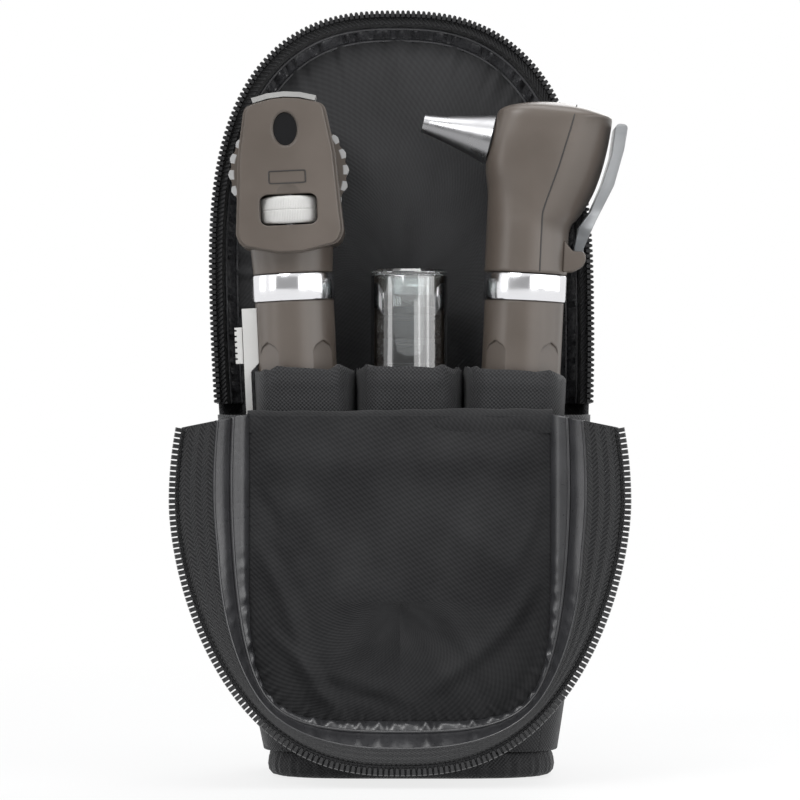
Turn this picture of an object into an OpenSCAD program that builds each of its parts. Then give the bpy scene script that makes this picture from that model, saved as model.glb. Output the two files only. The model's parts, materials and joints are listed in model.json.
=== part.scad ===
// Soft upright carry case, open, with an ophthalmoscope, a tube of specula and an otoscope in its pocket.
// Millimetres. X is to the right, Y is away from the viewer, Z is up, and the base stands on Z = 0.

/* [Case] */
// Height of the open back half above the floor
case_h = 181.9; // [165:0.1:205]
// Widest width of the back half at its zip
back_w = 90.9; // [88:0.1:100]
// Height at which the back half is widest and its arch begins
arch_z = 115.5; // [105:0.5:125]
// Squareness of the arch, where 2 is an ellipse
arch_power = 2.6; // [2:0.1:3]
// Height at which the case's middle lies above the origin
mid_z = 135; // [110:1:180]
// Depth of the lower pouch from front to back
pouch_d = 42; // [41:0.5:50]
// Height of the fold line where the flap hangs from the pouch
fold_z = 86; // [75:0.5:95]
// Width of the pouch at its base
base_w = 68; // [66:0.5:76]
// Sideways shift of the base
base_shift = 2.6; // [0:0.1:4]
// Depth of the back half's zip edge behind the middle of the pouch
zip_y = 10.6; // [10.4:0.1:11.4]
// How far the back panel is drawn in from the zip edge
back_flare = 7; // [5:0.5:9]

/* [Fabric] */
// Thickness of the woven gussets and the pouch's walls
wall_t = 1.3; // [1:0.1:1.6]
// Thickness of the padded back panel
panel_t = 1.3; // [1:0.1:2]
// Thickness of the stiffening board
board_t = 0.8; // [0.6:0.1:1.2]
// Thickness of the padded lining
lining_t = 3.6; // [2.4:0.1:4.2]
// Thickness of the pocket's cloth
pocket_t = 0.6; // [0.5:0.1:0.8]
// Thickness of the glossy binding
binding_t = 0.7; // [0.5:0.1:1]
// Thickness of the base panel
base_t = 2.6; // [2:0.1:3.2]
// Height of the rolled edge round the base
roll_h = 6.2; // [5:0.1:8]
// How far the base panel lies inside the rolled edge
roll_in = 4; // [3.5:0.1:5]

/* [Flap] */
// Width of the flap across its zip edge
flap_w = 103.2; // [98:0.2:108]
// Height of the flap's zip edge above the floor
flap_low = 4.2; // [3:0.1:10]
// Height at which the flap is widest
flap_wide_z = 65.6; // [55:0.2:72]
// Squareness of the flap's zip edge where it turns in from its sides
flap_power = 2.5; // [2:0.1:3]
// Squareness of the flap's zip edge across its bottom
flap_low_power = 1.7; // [1.5:0.05:2.5]
// How far the flap's zip edge stands in front of its panel
flap_d = 17; // [12:0.5:20]
// Width of the flap's panel
flap_panel_w = 73; // [66:0.5:80]
// Height of the panel's lower edge above the zip edge
flap_panel_up = 8.4; // [7:0.1:12]
// Squareness of the panel's outline
flap_panel_power = 4.8; // [3:0.1:6]
// Thickness of the flap's outer panel
flap_panel_t = 1.2; // [1:0.1:1.6]
// Thickness of the flap's padded lining
flap_lining_t = 1.8; // [1.2:0.1:2.4]

/* [Zip] */
// Distance from tooth to tooth
tooth_pitch = 1.9; // [1.6:0.1:3]
// How far a tooth stands out of its tape
tooth_out = 1.1; // [0.8:0.1:1.4]
// Thickness of the teeth
tooth_t = 1.4; // [1:0.1:2]
// Depth of the back half's zip tape behind its edge
tape_w = 4.4; // [3.6:0.1:4.8]
// Length of the slider
slider_l = 9; // [7:0.5:11]
// Width of the slider across the zip
slider_w = 7; // [6:0.5:8]
// Thickness of the slider
slider_t = 2.6; // [2.2:0.1:3.2]
// Length of the pull tab
pull_l = 20; // [14:0.5:26]

/* [Pocket] */
// Width of the left channel at its mouth
left_w = 24.4; // [24:0.1:24.8]
// Width of the middle channel at its mouth
middle_w = 25.7; // [22:0.1:27]
// Width of the right channel at its mouth
right_w = 24.8; // [24:0.1:26]
// Height of the pocket's mouth above the floor
pocket_z = 95.4; // [88:0.2:104]
// Depth of the channels from the lining to their fronts
channel_d = 30.8; // [30.4:0.1:31.4]
// Place of the middle channel's centre at its mouth
channel_x = 2.2; // [1:0.1:3.5]
// Width of the two outer channels at their lower ends
low_w = 21.6; // [21.4:0.1:22.2]
// Width of the middle channel at its lower end
middle_low_w = 23.8; // [23.4:0.1:24.4]
// Height of the channels' lower ends above the floor
channel_low = 12; // [11:0.5:16]

/* [Handles] */
// Radius of the battery handles
handle_r = 9.4; // [9.2:0.05:9.6]
// Length of the handle from its tail cap to the chrome ring
handle_l = 99.8; // [99.6:0.1:108]
// Height of the tail cap's grip
cap_h = 8; // [7:0.5:10]
// How far the tail cap's rounded end draws in
cap_round = 4.8; // [2:0.2:5]
// How high the tail cap's rounded end reaches
cap_dome = 5.4; // [2:0.2:6]
// Radius of the battery cells
cell_r = 7.1; // [6.8:0.05:7.25]
// Length of one cell without its contact
cell_l = 49.2; // [45:0.1:49.4]
// Radius of the chrome ring
ring_r = 9.9; // [9.7:0.05:10.2]
// Height of the chrome ring
ring_h = 6.7; // [6:0.1:8]
// Lean of the ophthalmoscope to the left in degrees
left_lean = 2.6; // [2.2:0.1:2.8]
// Lean of the otoscope to the right in degrees
right_lean = 2.7; // [2.4:0.1:2.8]
// Height of the tail caps above the floor
tail_z = 4.6; // [4:0.1:6]
// Number of grip flats round a handle
flats = 4; // [4:1:6]
// Width of a grip flat
flat_w = 6.4; // [4:0.1:7]
// Length of the slide switch
switch_l = 8.6; // [6:0.2:10]
// Travel of the slide switch
switch_run = 4; // [2:0.5:5]
// Length of the pocket clip
clip_l = 44; // [34:1:52]
// Width of the pocket clip
clip_w = 6; // [5:0.2:8]

/* [Ophthalmoscope head] */
// Width of the face plate near its foot
face_w = 24; // [22:0.2:25]
// Width of the face plate near its top
face_top_w = 17.6; // [16:0.2:19]
// Height of the head above the chrome ring's top
face_h = 40.6; // [39:0.2:44]
// Thickness of the face plate
face_t = 2.2; // [1.8:0.1:3]
// Depth of the head from the face to the rear
head_d = 24; // [23:0.5:26]
// Radius of the lens dial
dial_r = 14.4; // [13.4:0.1:15]
// Thickness of the lens dial
dial_t = 3; // [2.4:0.1:3.4]
// Number of scallops round the dial
scallops = 22; // [16:1:28]
// Radius of the thumbwheel
wheel_r = 7; // [6.4:0.1:7.2]
// Height of the thumbwheel
wheel_h = 6.4; // [5:0.1:7]
// Width of the sight aperture
aperture_w = 6.2; // [5:0.1:7]
// Height of the sight aperture
aperture_h = 8.4; // [7:0.1:9]

/* [Otoscope head] */
// Depth of the head across its two sides
oto_d = 20.8; // [20:0.2:22]
// Radius of the speculum's tip
tip_r = 2.15; // [2:0.05:2.6]
// Radius of the speculum's base
spec_r = 6.05; // [5.8:0.05:6.3]
// Length of the speculum in front of the head
spec_l = 16.6; // [14:0.2:22]
// Wall of the speculum
spec_t = 0.55; // [0.4:0.05:0.7]
// Tilt of the speculum from level in degrees
spec_tilt = 10.8; // [8:0.2:13]
// Width of the magnifier
lens_w = 17; // [14:0.2:19]
// Radius of the magnifier's pin
lens_pin_r = 0.9; // [0.7:0.05:1.1]

/* [Tube] */
// Radius of the clear tube
tube_r = 9.2; // [8.8:0.1:9.4]
// Wall of the clear tube
tube_t = 1; // [0.8:0.1:1.3]
// Height of the clear tube's top above the floor
tube_top = 118.4; // [110:0.2:125]
// Step from rim to rim in the stack of specula
spec_step = 5.7; // [5:0.1:7]
// Number of specula in the stack
spec_count = 14; // [4:1:15]

/* [Hidden] */

// Clearances: a seat that is fixed, a piece that runs, and cloth beside its neighbour
seat = 0.03;
run = 0.06;
gap = 0.3;

// Colours
nylon = [0.12, 0.12, 0.125];
twill = [0.18, 0.18, 0.19];
gloss = [0.26, 0.26, 0.27];
mocha = [0.43, 0.39, 0.36];
chrome = [0.82, 0.82, 0.84];
white = [0.93, 0.93, 0.92];
steel = [0.62, 0.62, 0.63];
clear = [0.85, 0.9, 0.9, 0.35];

// Depth of each layer from the back to the front
back_y = pouch_d / 2;
board_y = back_y - panel_t - 0.05;
lining_y = board_y - board_t - 0.05;
cloth_y = lining_y - lining_t;
front_y = -pouch_d / 2;
front_room = 11.1;
axis_y = cloth_y - channel_d + front_room;
half_w = back_w / 2;
arch_b = case_h - arch_z;

// Half-width of the case at a height
function side_w(z) = z < arch_z ? half_w - (half_w - base_w / 2) * pow(1 - z / arch_z, 2) : half_w;
// Middle of the case at a height
function mid_x(z) = base_shift * (1 - z / mid_z);
function spow(v, p) = sign(v) * pow(abs(v), p);

// The edge of the back half from low on the left, over the arch, to low on the right, drawn in by an inset
side_steps = 8;
arch_steps = 28;
function side_z(i, low) = low + (arch_z - low) * i / side_steps;
function arch_pt(t, inset) = let (z = arch_z + (arch_b - inset) * pow(sin(t), 2 / arch_power))
    [mid_x(z) + (half_w - inset) * spow(cos(t), 2 / arch_power), z];
function edge(inset, low) = concat(
    [for (i = [0:side_steps - 1]) let (z = side_z(i, low)) [mid_x(z) - side_w(z) + inset, z]],
    [for (i = [0:arch_steps]) arch_pt(180 - 180 * i / arch_steps, inset)],
    [for (i = [side_steps - 1:-1:0]) let (z = side_z(i, low)) [mid_x(z) + side_w(z) - inset, z]]);

// The flap's zip edge from the left shoulder, round the bottom, to the right shoulder
flap_steps = 36;
shoulder_z = fold_z - 3.4;
flap_half = flap_w / 2;
flap_b = flap_wide_z - flap_low;
function flap_at(t, half, b, p, q) = [half * spow(cos(t), 2 / p), flap_wide_z - b * pow(sin(t), 2 / q)];
shoulder_in = 1.6;
function flap_top(half, top, k, in) = [half - in * k * k, flap_wide_z + (top - flap_wide_z) * k];
function flap_edge(half, b, p, q, top, in = 0) = concat(
    [for (k = [1, 0.6, 0.3]) let (e = flap_top(half, top, k, in)) [-e[0], e[1]]],
    [for (i = [0:flap_steps]) flap_at(180 - 180 * i / flap_steps, half, b, p, q)],
    [for (k = [0.3, 0.6, 1]) flap_top(half, top, k, in)]);
panel_half = flap_panel_w / 2;
panel_b = flap_b - flap_panel_up;
panel_top = fold_z - 0.6;
flap_back_y = front_y - 0.4;
flap_mid_y = flap_back_y - flap_panel_t;
flap_face_y = flap_mid_y - 0.05 - flap_lining_t;
flap_front_y = flap_mid_y - flap_d;

// A point of the flap's flare: share 0 lies at the panel's edge and share 1 at the zip edge
flare_bow = 2.2;
function flare(i, share, inward, zips, panels) = let (a = panels[i], b = zips[i], m = a + (b - a) * share,
    q = m - unit(b - a) * inward * 0.7)
    [q[0], flap_mid_y - flap_d * share + flare_bow * sin(180 * share) - inward * 0.7, q[1]];

// A closed skin over sections that run out along one face and back along the other
module skin(sections) {
    k = len(sections);
    m = len(sections[0]);
    points = [for (s = sections) each s];
    sides = [for (i = [0:k - 2], j = [0:m - 1])
        let (a = i * m + j, b = i * m + (j + 1) % m, c = b + m, d = a + m)
        each [[a, b, c], [a, c, d]]];
    last = (k - 1) * m;
    caps = [for (j = [0:m / 2 - 2])
        let (a = j, b = j + 1, c = m - 2 - j, d = m - 1 - j)
        each [[d, c, b], [d, b, a], [last + a, last + b, last + c], [last + a, last + c, last + d]]];
    polyhedron(points, concat(sides, caps));
}

// A closed skin whose last section joins the first
module ring_skin(sections) {
    k = len(sections);
    m = len(sections[0]);
    points = [for (s = sections) each s];
    polyhedron(points, [for (i = [0:k - 1], j = [0:m - 1])
        let (e = (j + 1) % m, f = ((i + 1) % k) * m, a = i * m + j, b = i * m + e, c = f + e, d = f + j)
        each [[a, b, c], [a, c, d]]]);
}

// A polygon's corners rounded by arcs, with one radius for each corner
function unit(v) = v / norm(v);
function bend(a, b, c, r, n) = let (u = unit(a - b), v = unit(c - b), h = acos(u * v) / 2,
    o = b + unit(u + v) * r / sin(h), p = b + u * r / tan(h), q = b + v * r / tan(h),
    s = atan2(p[1] - o[1], p[0] - o[0]), e = atan2(q[1] - o[1], q[0] - o[0]), w = (e - s + 540) % 360 - 180)
    [for (i = [0:n]) o + r * [cos(s + w * i / n), sin(s + w * i / n)]];
function rounded(p, r, n = 4) = let (m = len(p))
    [for (i = [0:m - 1])
        each (r[i] > 0 ? bend(p[(i + m - 1) % m], p[i], p[(i + 1) % m], r[i], n) : [p[i]])];

// A plate in the XZ plane whose rear face lies at y
module plate(points, y, t) {
    translate([0, y, 0])
        rotate([90, 0, 0])
            linear_extrude(t)
                polygon(points);
}

// A panel that follows the back half's edge, drawn in by an inset
module back_plate(inset, low, y, t) {
    plate(edge(inset, low), y, t);
}

// A band that follows the back half's edge, from pairs of inset and y
module back_band(pairs, low) {
    rims = [for (p = pairs) edge(p[0], low)];
    skin([for (i = [0:len(rims[0]) - 1])
        [for (j = [0:len(pairs) - 1]) [rims[j][i][0], pairs[j][1], rims[j][i][1]]]]);
}

wall_low = roll_h + gap;
gusset_y = back_y - panel_t - 0.2;
back_d = gusset_y - zip_y;
gusset_outer = [[0, zip_y], [back_flare * 0.13, zip_y + back_d * 0.5],
    [back_flare * 0.4, zip_y + back_d * 0.8], [back_flare, gusset_y]];

module back_panel() {
    color(nylon)
        back_plate(back_flare - 1.6, wall_low, back_y, panel_t);
}

module back_gusset() {
    inner = [for (p = gusset_outer) [p[0] + wall_t, p[1] - (p[0] == back_flare ? 0.2 : 0)]];
    color(nylon)
        back_band(concat(gusset_outer, [for (j = [3:-1:0]) inner[j]]), wall_low);
}

lining_in = back_flare + wall_t + 0.35;
zip_low = fold_z + 2;

module back_board() {
    color("dimgray")
        back_plate(lining_in, wall_low, board_y, board_t);
}

module back_lining() {
    color(twill)
        back_plate(lining_in, wall_low, lining_y, lining_t);
}

// The glossy strip lies inside the gusset, between the lining and the zip tape
module back_binding() {
    a = gusset_outer[1][0] + wall_t + 0.25;
    b = gusset_outer[2][0] + wall_t + gap;
    binding_y = zip_y + back_d * 0.78;
    color(gloss)
        back_band([[a, zip_y + tape_w], [b, binding_y], [b + binding_t + 0.3, binding_y - 0.2],
            [a + binding_t, zip_y + tape_w]], zip_low);
}

module back_zip_tape() {
    color(nylon)
        back_band([[wall_t + 0.2, zip_y - 0.6], [wall_t + 0.25 + 0.6, zip_y + tape_w - 0.6],
            [wall_t + 0.95 + 0.6, zip_y + tape_w - 0.6], [wall_t + 0.8, zip_y - 1.2], [-0.3, zip_y - 1.2],
            [-0.3, zip_y - 0.6]], zip_low);
}

// Teeth along an edge: a comb whose tips lie outside the edge
function along(path) = [for (i = 0, s = 0; i < len(path); i = i + 1,
    s = s + (i < len(path) ? norm(path[min(i, len(path) - 1)] - path[i - 1]) : 0)) s];
function at(path, lengths, s) = let (i = max([for (k = [0:len(path) - 2]) if (lengths[k] <= s) k]),
    f = (s - lengths[i]) / (lengths[i + 1] - lengths[i])) path[i] + (path[i + 1] - path[i]) * f;
function side_of(path, lengths, s, out) = let (e = 0.4, total = lengths[len(path) - 1],
    a = at(path, lengths, max(s - e, 0)), b = at(path, lengths, min(s + e, total - 0.001)), d = unit(b - a))
    at(path, lengths, s) + out * [-d[1], d[0]];

module comb(path, root, y, outward) {
    lengths = along(path);
    total = lengths[len(path) - 1];
    count = floor(total / tooth_pitch) - 1;
    step = (total - 0.2) / count;
    tips = [for (i = [0:count - 1]) each [
        side_of(path, lengths, 0.1 + step * (i + 0.05), 0),
        side_of(path, lengths, 0.1 + step * (i + 0.15), outward * tooth_out),
        side_of(path, lengths, 0.1 + step * (i + 0.6), outward * tooth_out),
        side_of(path, lengths, 0.1 + step * (i + 0.7), 0)]];
    thirds = floor(count / 3);
    inner = [for (i = [thirds:-1:0])
        side_of(path, lengths, 0.1 + (total - 0.3) * i / thirds, -outward * root)];
    plate(concat(tips, inner), y, tooth_t);
}

module back_zip_teeth() {
    color("black")
        comb(edge(-0.3, zip_low), 1.4, zip_y - 1.3, 1);
}

// The pouch's plan at a height: a rounded front from the left side (180) to the right side (0)
front_power = 6;
function plan_pt(t, z, inset) = [mid_x(z) + (side_w(z) - inset) * spow(cos(t), 2 / front_power),
    zip_y - 0.2 + (front_y - zip_y + 0.2 + inset) * pow(sin(t), 2 / front_power), z];
function wall_section(t0, t1, n, z) = concat(
    [for (i = [0:n]) plan_pt(t0 + (t1 - t0) * i / n, z, 0)],
    [for (i = [n:-1:0]) plan_pt(t0 + (t1 - t0) * i / n, z, wall_t)]);
wall_steps = 6;
wall_top = fold_z - 0.6;
corner_t = 52;
module pouch_wall(t0, t1, n) {
    skin([for (k = [wall_steps:-1:0])
        wall_section(t0, t1, n, wall_low + (wall_top - wall_low) * k / wall_steps)]);
}

module pouch_front() {
    color(nylon)
        pouch_wall(180 - corner_t, corner_t, 8);
}

module pouch_side_left() {
    color(nylon)
        pouch_wall(180, 180 - corner_t + 0.4, 7);
}

module pouch_side_right() {
    color(nylon)
        pouch_wall(corner_t - 0.4, 0, 7);
}

// The base's plan
base_half = base_w / 2;
function base_pt(t, inset) = [base_shift + (base_half - inset) * spow(cos(t), 0.5),
    (pouch_d / 2 - inset) * spow(sin(t), 0.5)];
base_steps = 40;

module base_panel() {
    color(nylon)
        linear_extrude(base_t)
            polygon([for (i = [0:base_steps - 1]) base_pt(360 * i / base_steps, roll_in)]);
}

module base_roll() {
    inside = roll_in - 0.15;
    pairs = [[inside, 0.35], [1, 0.7], [0.1, 3.2], [0.6, roll_h], [1.2, roll_h], [1.1, 3.2],
        [inside, base_t]];
    color(nylon)
        ring_skin([for (i = [0:base_steps - 1]) [for (p = pairs)
            let (q = base_pt(360 * i / base_steps, p[0])) [q[0], q[1], p[1]]]]);
}

// One channel of the pocket, narrowing to the floor
channel_steps = 12;
channel_levels = 3;
channel_square = 0.38;
function channel_pt(t, centre, half, y, depth) = [centre + half * spow(cos(t), channel_square),
    y - depth * pow(sin(t), channel_square)];
function channel_arc(z, centre, half, y, depth) = [for (i = [0:channel_steps])
    let (q = channel_pt(180 - 180 * i / channel_steps, centre, half, y, depth)) [q[0], q[1], z]];
function reversed(list) = [for (i = [len(list) - 1:-1:0]) list[i]];
function channel_ring(z, centre, half) = concat(
    channel_arc(z, centre, half, cloth_y - 0.15, channel_d),
    reversed(channel_arc(z, centre, half - pocket_t, cloth_y - 0.3, channel_d - pocket_t - 0.15)));
module channel(top_x, low_x, top_w, bottom_w) {
    color(twill)
        skin([for (k = [channel_levels:-1:0]) let (f = k / channel_levels)
            channel_ring(channel_low + (pocket_z - channel_low) * f, low_x + (top_x - low_x) * f,
                (bottom_w + (top_w - bottom_w) * f) / 2 - 0.08)]);
}

left_x = channel_x - (middle_w + left_w) / 2;
right_x = channel_x + (middle_w + right_w) / 2;
mid_low_x = channel_x;
left_low_x = mid_low_x - (middle_low_w + low_w) / 2;
right_low_x = mid_low_x + (middle_low_w + low_w) / 2;

module pocket_left() {
    channel(left_x, left_low_x, left_w, low_w);
}

module pocket_middle() {
    channel(channel_x, mid_low_x, middle_w, middle_low_w);
}

module pocket_right() {
    channel(right_x, right_low_x, right_w, low_w);
}

// The flap
zip_line = flap_edge(flap_half, flap_b, flap_power, flap_low_power, shoulder_z, shoulder_in);
panel_line = flap_edge(panel_half, panel_b, flap_panel_power, flap_panel_power, panel_top);
lining_in_flap = 2;
lining_line = flap_edge(panel_half - lining_in_flap, panel_b - lining_in_flap, flap_panel_power,
    flap_panel_power, panel_top);

module flap_panel() {
    color(nylon)
        plate(panel_line, flap_back_y, flap_panel_t);
}

module flap_lining() {
    color(twill)
        plate(lining_line, flap_mid_y - 0.05, flap_lining_t);
}

function flare_section(i, from, to, low, high, n) = concat(
    [for (k = [0:n]) flare(i, from + (to - from) * k / n, low, zip_line, panel_line)],
    [for (k = [n:-1:0]) flare(i, from + (to - from) * k / n, high, zip_line, panel_line)]);
module flare_band(from, to, low, high, n) {
    skin([for (i = [0:len(zip_line) - 1]) flare_section(i, from, to, low, high, n)]);
}

module flap_gusset() {
    color(nylon)
        flare_band(0.04, 1, 0, wall_t, 4);
}

module flap_binding() {
    color(gloss)
        flare_band(0.12, 0.46, wall_t + 0.3, wall_t + 0.3 + binding_t, 2);
}

module flap_zip_tape() {
    color(nylon)
        flare_band(0.54, 1, wall_t + 0.3, wall_t + 0.9, 2);
}

module flap_zip_teeth() {
    color("black")
        comb(zip_line, 1.6, flap_front_y - (wall_t + 0.9) * 0.7 - 0.1, 1);
}

// The slider waits at the zip's lower end on the left, outside the pouch's wall, and follows its slope
slider_z = fold_z - 12.5;
slider_off = 0.7;
slider_up = 20;
function left_edge(z) = mid_x(z) - side_w(z);
slider_lean = atan((left_edge(slider_z) - left_edge(slider_z + slider_up)) / slider_up);
slider_at = [left_edge(slider_z) - slider_off, zip_y - 2, slider_z];
chain_half = tooth_t / 2 + 0.4;
chain_deep = tooth_out + 0.1;
loop_r = 1.5;
pull_hole_r = 0.8;
pull_pin_r = pull_hole_r - run;
pivot_out = slider_t + loop_r + gap;
pivot_up = slider_l * 0.72;
pull_at = slider_at + [-pivot_out * cos(slider_lean) - pivot_up * sin(slider_lean), 0,
    pivot_up * cos(slider_lean) - pivot_out * sin(slider_lean)];
ear_in = 1.6;
ear_t = 1;

module zip_slider() {
    color("black")
        translate(slider_at)
            rotate([0, -slider_lean, 0]) {
                difference() {
                    translate([-slider_t, -slider_w / 2, 0])
                        cube([slider_t, slider_w, slider_l]);
                    translate([-chain_deep, -chain_half, -1])
                        cube([chain_deep + 1, chain_half * 2, slider_l + 2]);
                    for (s = [-1, 1])
                        translate([-slider_t - 1, s * slider_w * 0.62, -1])
                            rotate([0, 0, 45])
                                cube([2.4, 2.4, slider_l + 2]);
                }
                translate([-pivot_out, -ear_in, pivot_up])
                    rotate([-90, 0, 0])
                        cylinder(r = pull_pin_r, h = ear_in * 2, $fn = 24);
                for (s = [-1, 1])
                    translate([-pivot_out - 1, s * (ear_in + ear_t / 2) - ear_t / 2, pivot_up - 1.2])
                        cube([pivot_out - slider_t + 1.2, ear_t, 2.4]);
            }
}

pull_t = 1.2;
pull_w = 2.6;
module zip_pull() {
    ends = [[-2, -pull_l], [2, -pull_l], [2.4, -3.4], [-2.4, -3.4]];
    color("black")
        translate(pull_at)
            difference() {
                union() {
                    translate([0, -pull_w / 2, 0])
                        rotate([-90, 0, 0])
                            cylinder(r = loop_r, h = pull_w, $fn = 32);
                    translate([-0.9, -pull_w / 2, -4])
                        cube([pull_t, pull_w, 4]);
                    translate([-0.9, 0, 0])
                        rotate([90, 0, 90])
                            linear_extrude(pull_t)
                                polygon(rounded(ends, [1.6, 1.6, 0.8, 0.8]));
                }
                translate([0, -2, 0])
                    rotate([-90, 0, 0])
                        cylinder(r = pull_hole_r, h = 4, $fn = 24);
            }
}

// Where each instrument stands: its own frame has the handle's axis on Z and the tail cap at 0
to_left = 0.8;
to_right = 0.62;
middle_z = (channel_low + pocket_z) / 2 - tail_z;
ophtho_x = (left_low_x + left_x) / 2 - to_left + middle_z * tan(left_lean);
oto_x = (right_low_x + right_x) / 2 + to_right - middle_z * tan(right_lean);

module in_left() {
    translate([ophtho_x, axis_y, tail_z])
        rotate([0, -left_lean, 0])
            children();
}

module in_right() {
    translate([oto_x, axis_y, tail_z])
        rotate([0, right_lean, 0])
            children();
}

// The battery handle shared by both instruments
bore_r = cell_r + 0.25;
spigot_r = 8.2;
spigot_h = 5;
handle_top = cap_h + handle_l;
ring_top = handle_top + ring_h;
tenon_r = 8.5;
flat_top = handle_top - 9.5;
flat_deep = 0.55;
flat_arch = 2.8;
flat_turn = 45;

module flat_cut(angle) {
    rotate([0, 0, angle])
        translate([handle_r - flat_deep, 0, 0])
            rotate([90, 0, 90])
                linear_extrude(3)
                    polygon([[-flat_w / 2, cap_h + 1.5], [flat_w / 2, cap_h + 1.5],
                        [flat_w / 2, flat_top - flat_arch],
                        [flat_w / 3, flat_top - flat_arch * 0.4], [0, flat_top],
                        [-flat_w / 3, flat_top - flat_arch * 0.4], [-flat_w / 2, flat_top - flat_arch]]);
}

module handle(turn) {
    color(mocha)
        difference() {
            union() {
                translate([0, 0, cap_h])
                    cylinder(r = handle_r, h = handle_l, $fn = 72);
                translate([0, 0, handle_top - 1])
                    cylinder(r = tenon_r, h = ring_h / 2 + 0.8, $fn = 72);
            }
            translate([0, 0, cap_h - 1])
                cylinder(r = bore_r, h = handle_l + 1, $fn = 72);
            translate([0, 0, cap_h - 1])
                cylinder(r = spigot_r + run, h = spigot_h + 1.4, $fn = 72);
            translate([0, 0, handle_top - 2])
                cylinder(r = 2.6, h = ring_h, $fn = 36);
            for (i = [0:flats - 1])
                flat_cut(turn + 360 * i / flats);
        }
}

cell_low = 6;
nub_r = 2.4;
module cells() {
    color("olivedrab")
        for (i = [0, 1])
            translate([0, 0, cell_low + i * (cell_l + 1.15)])
                rotate_extrude($fn = 72)
                    polygon([[0, 0], [cell_r, 0], [cell_r, cell_l], [nub_r, cell_l], [nub_r, cell_l + 1],
                        [0, cell_l + 1]]);
}

spring_low = 2.6;
coil_r = 5;
wire_r = 0.45;
coil_turns = 2.5;
function coil_pt(f) = [coil_r * cos(360 * coil_turns * f), coil_r * sin(360 * coil_turns * f),
    spring_low + wire_r + (cell_low - spring_low - 2 * wire_r - 0.1) * f];
module spring() {
    color(steel)
        skin([for (i = [0:30]) let (a = 360 * coil_turns * i / 30, c = coil_pt(i / 30))
            [for (j = [0:5]) c + wire_r * [cos(a) * cos(60 * j), sin(a) * cos(60 * j), sin(60 * j)]]]);
}

module tail_cap() {
    color(mocha)
        rotate_extrude($fn = 72)
            polygon(concat([[0, 0], [handle_r - cap_round, 0]],
                [for (a = [-75:15:0]) [handle_r - cap_round + cap_round * cos(a), cap_dome + cap_dome * sin(a)]],
                [[handle_r, cap_h - 0.15], [spigot_r, cap_h - 0.15], [spigot_r, cap_h + spigot_h],
                [bore_r, cap_h + spigot_h], [bore_r, spring_low - 0.05], [0, spring_low - 0.05]]));
}

module chrome_ring() {
    color(chrome)
        translate([0, 0, handle_top + 0.1])
            rotate_extrude($fn = 96)
                polygon([[tenon_r + seat, 0], [ring_r - 0.4, 0], [ring_r, 0.4], [ring_r, ring_h - 0.6],
                    [ring_r - 0.4, ring_h - 0.2], [tenon_r + seat, ring_h - 0.2]]);
}

// A clip whose root grips the handle on the side that points to -X
clip_top = handle_top - 1.2;
clip_gap = 1.5;
clip_bump = 0.15;
clip_root = 15;
switch_drop = switch_run + 0.4;
clip_t = 1.6;
module clip(root, gap_r, t) {
    color(white)
        difference() {
            union() {
                translate([-handle_r, 0, clip_top])
                    plate([[-gap_r - t, -clip_l], [-gap_r, -clip_l], [-gap_r, -root],
                        [1, -root + gap_r + 1], [1, 0], [-gap_r - t, 0]], clip_w / 2, clip_w);
                translate([-handle_r - gap_r, clip_w / 2, clip_top - clip_l + 3])
                    rotate([90, 0, 0])
                        cylinder(r = clip_bump, h = clip_w, $fn = 24);
            }
            translate([0, 0, clip_top - root - 1])
                cylinder(r = handle_r + seat, h = root + 2, $fn = 72);
        }
}

module slide_switch(gap_r, t, deep, grip) {
    ribs = 6;
    x0 = -handle_r - gap_r - t - 0.15;
    z0 = clip_top - switch_drop - switch_l;
    color(white)
        difference() {
            translate([x0 - deep, -clip_w * 0.42, z0])
                cube([deep, clip_w * 0.84, switch_l]);
            for (i = [0:ribs - 1])
                translate([x0 - deep - 1, -clip_w, z0 + switch_l * (i + 0.7) / (ribs + 0.4)])
                    cube([1 + grip, clip_w * 2, switch_l * 0.3 / ribs]);
        }
}

// The ophthalmoscope's pieces
module ophtho_handle() {
    in_left()
        handle(flat_turn);
}

module ophtho_cells() {
    in_left()
        cells();
}

module ophtho_spring() {
    in_left()
        spring();
}

module ophtho_tail_cap() {
    in_left()
        tail_cap();
}

module ophtho_ring() {
    in_left()
        chrome_ring();
}

neck_h = 7;
lamp_r = 2.6;
neck_top = ring_top + neck_h;
module ophtho_neck() {
    color(mocha)
        in_left()
            difference() {
                union() {
                    translate([0, 0, ring_top])
                        cylinder(r1 = handle_r, r2 = handle_r + 0.5, h = neck_h, $fn = 72);
                    translate([0, 0, ring_top - ring_h / 2 + 0.4])
                        cylinder(r = tenon_r, h = ring_h / 2 + 1, $fn = 72);
                }
                translate([0, 0, ring_top - ring_h])
                    cylinder(r = lamp_r + run, h = ring_h + neck_h + 1, $fn = 36);
            }
}

module ophtho_lamp() {
    color(steel)
        in_left()
            translate([0, 0, handle_top + 0.6]) {
                cylinder(r = lamp_r - 0.4, h = ring_h + neck_h - 2.4, $fn = 36);
                translate([0, 0, ring_h + neck_h - 2.6])
                    sphere(r = lamp_r - 0.6, $fn = 32);
            }
}

// Levels and depths of the ophthalmoscope's head in its own frame
face_y = -14.5;
face_foot = ring_top + 5.6;
face_top = face_foot + face_h - 5.4;
dial_z = face_foot + 18.6;
wheel_z = face_foot + 9;
readout_z = dial_z - 2;
sight_z = dial_z + 9.3;
arch_r = 22;
arch_half = 16;
brow_half = 19;
dial_y = 1.4;
rear_y = face_y + head_d;
pin_r = 1.4;

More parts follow.
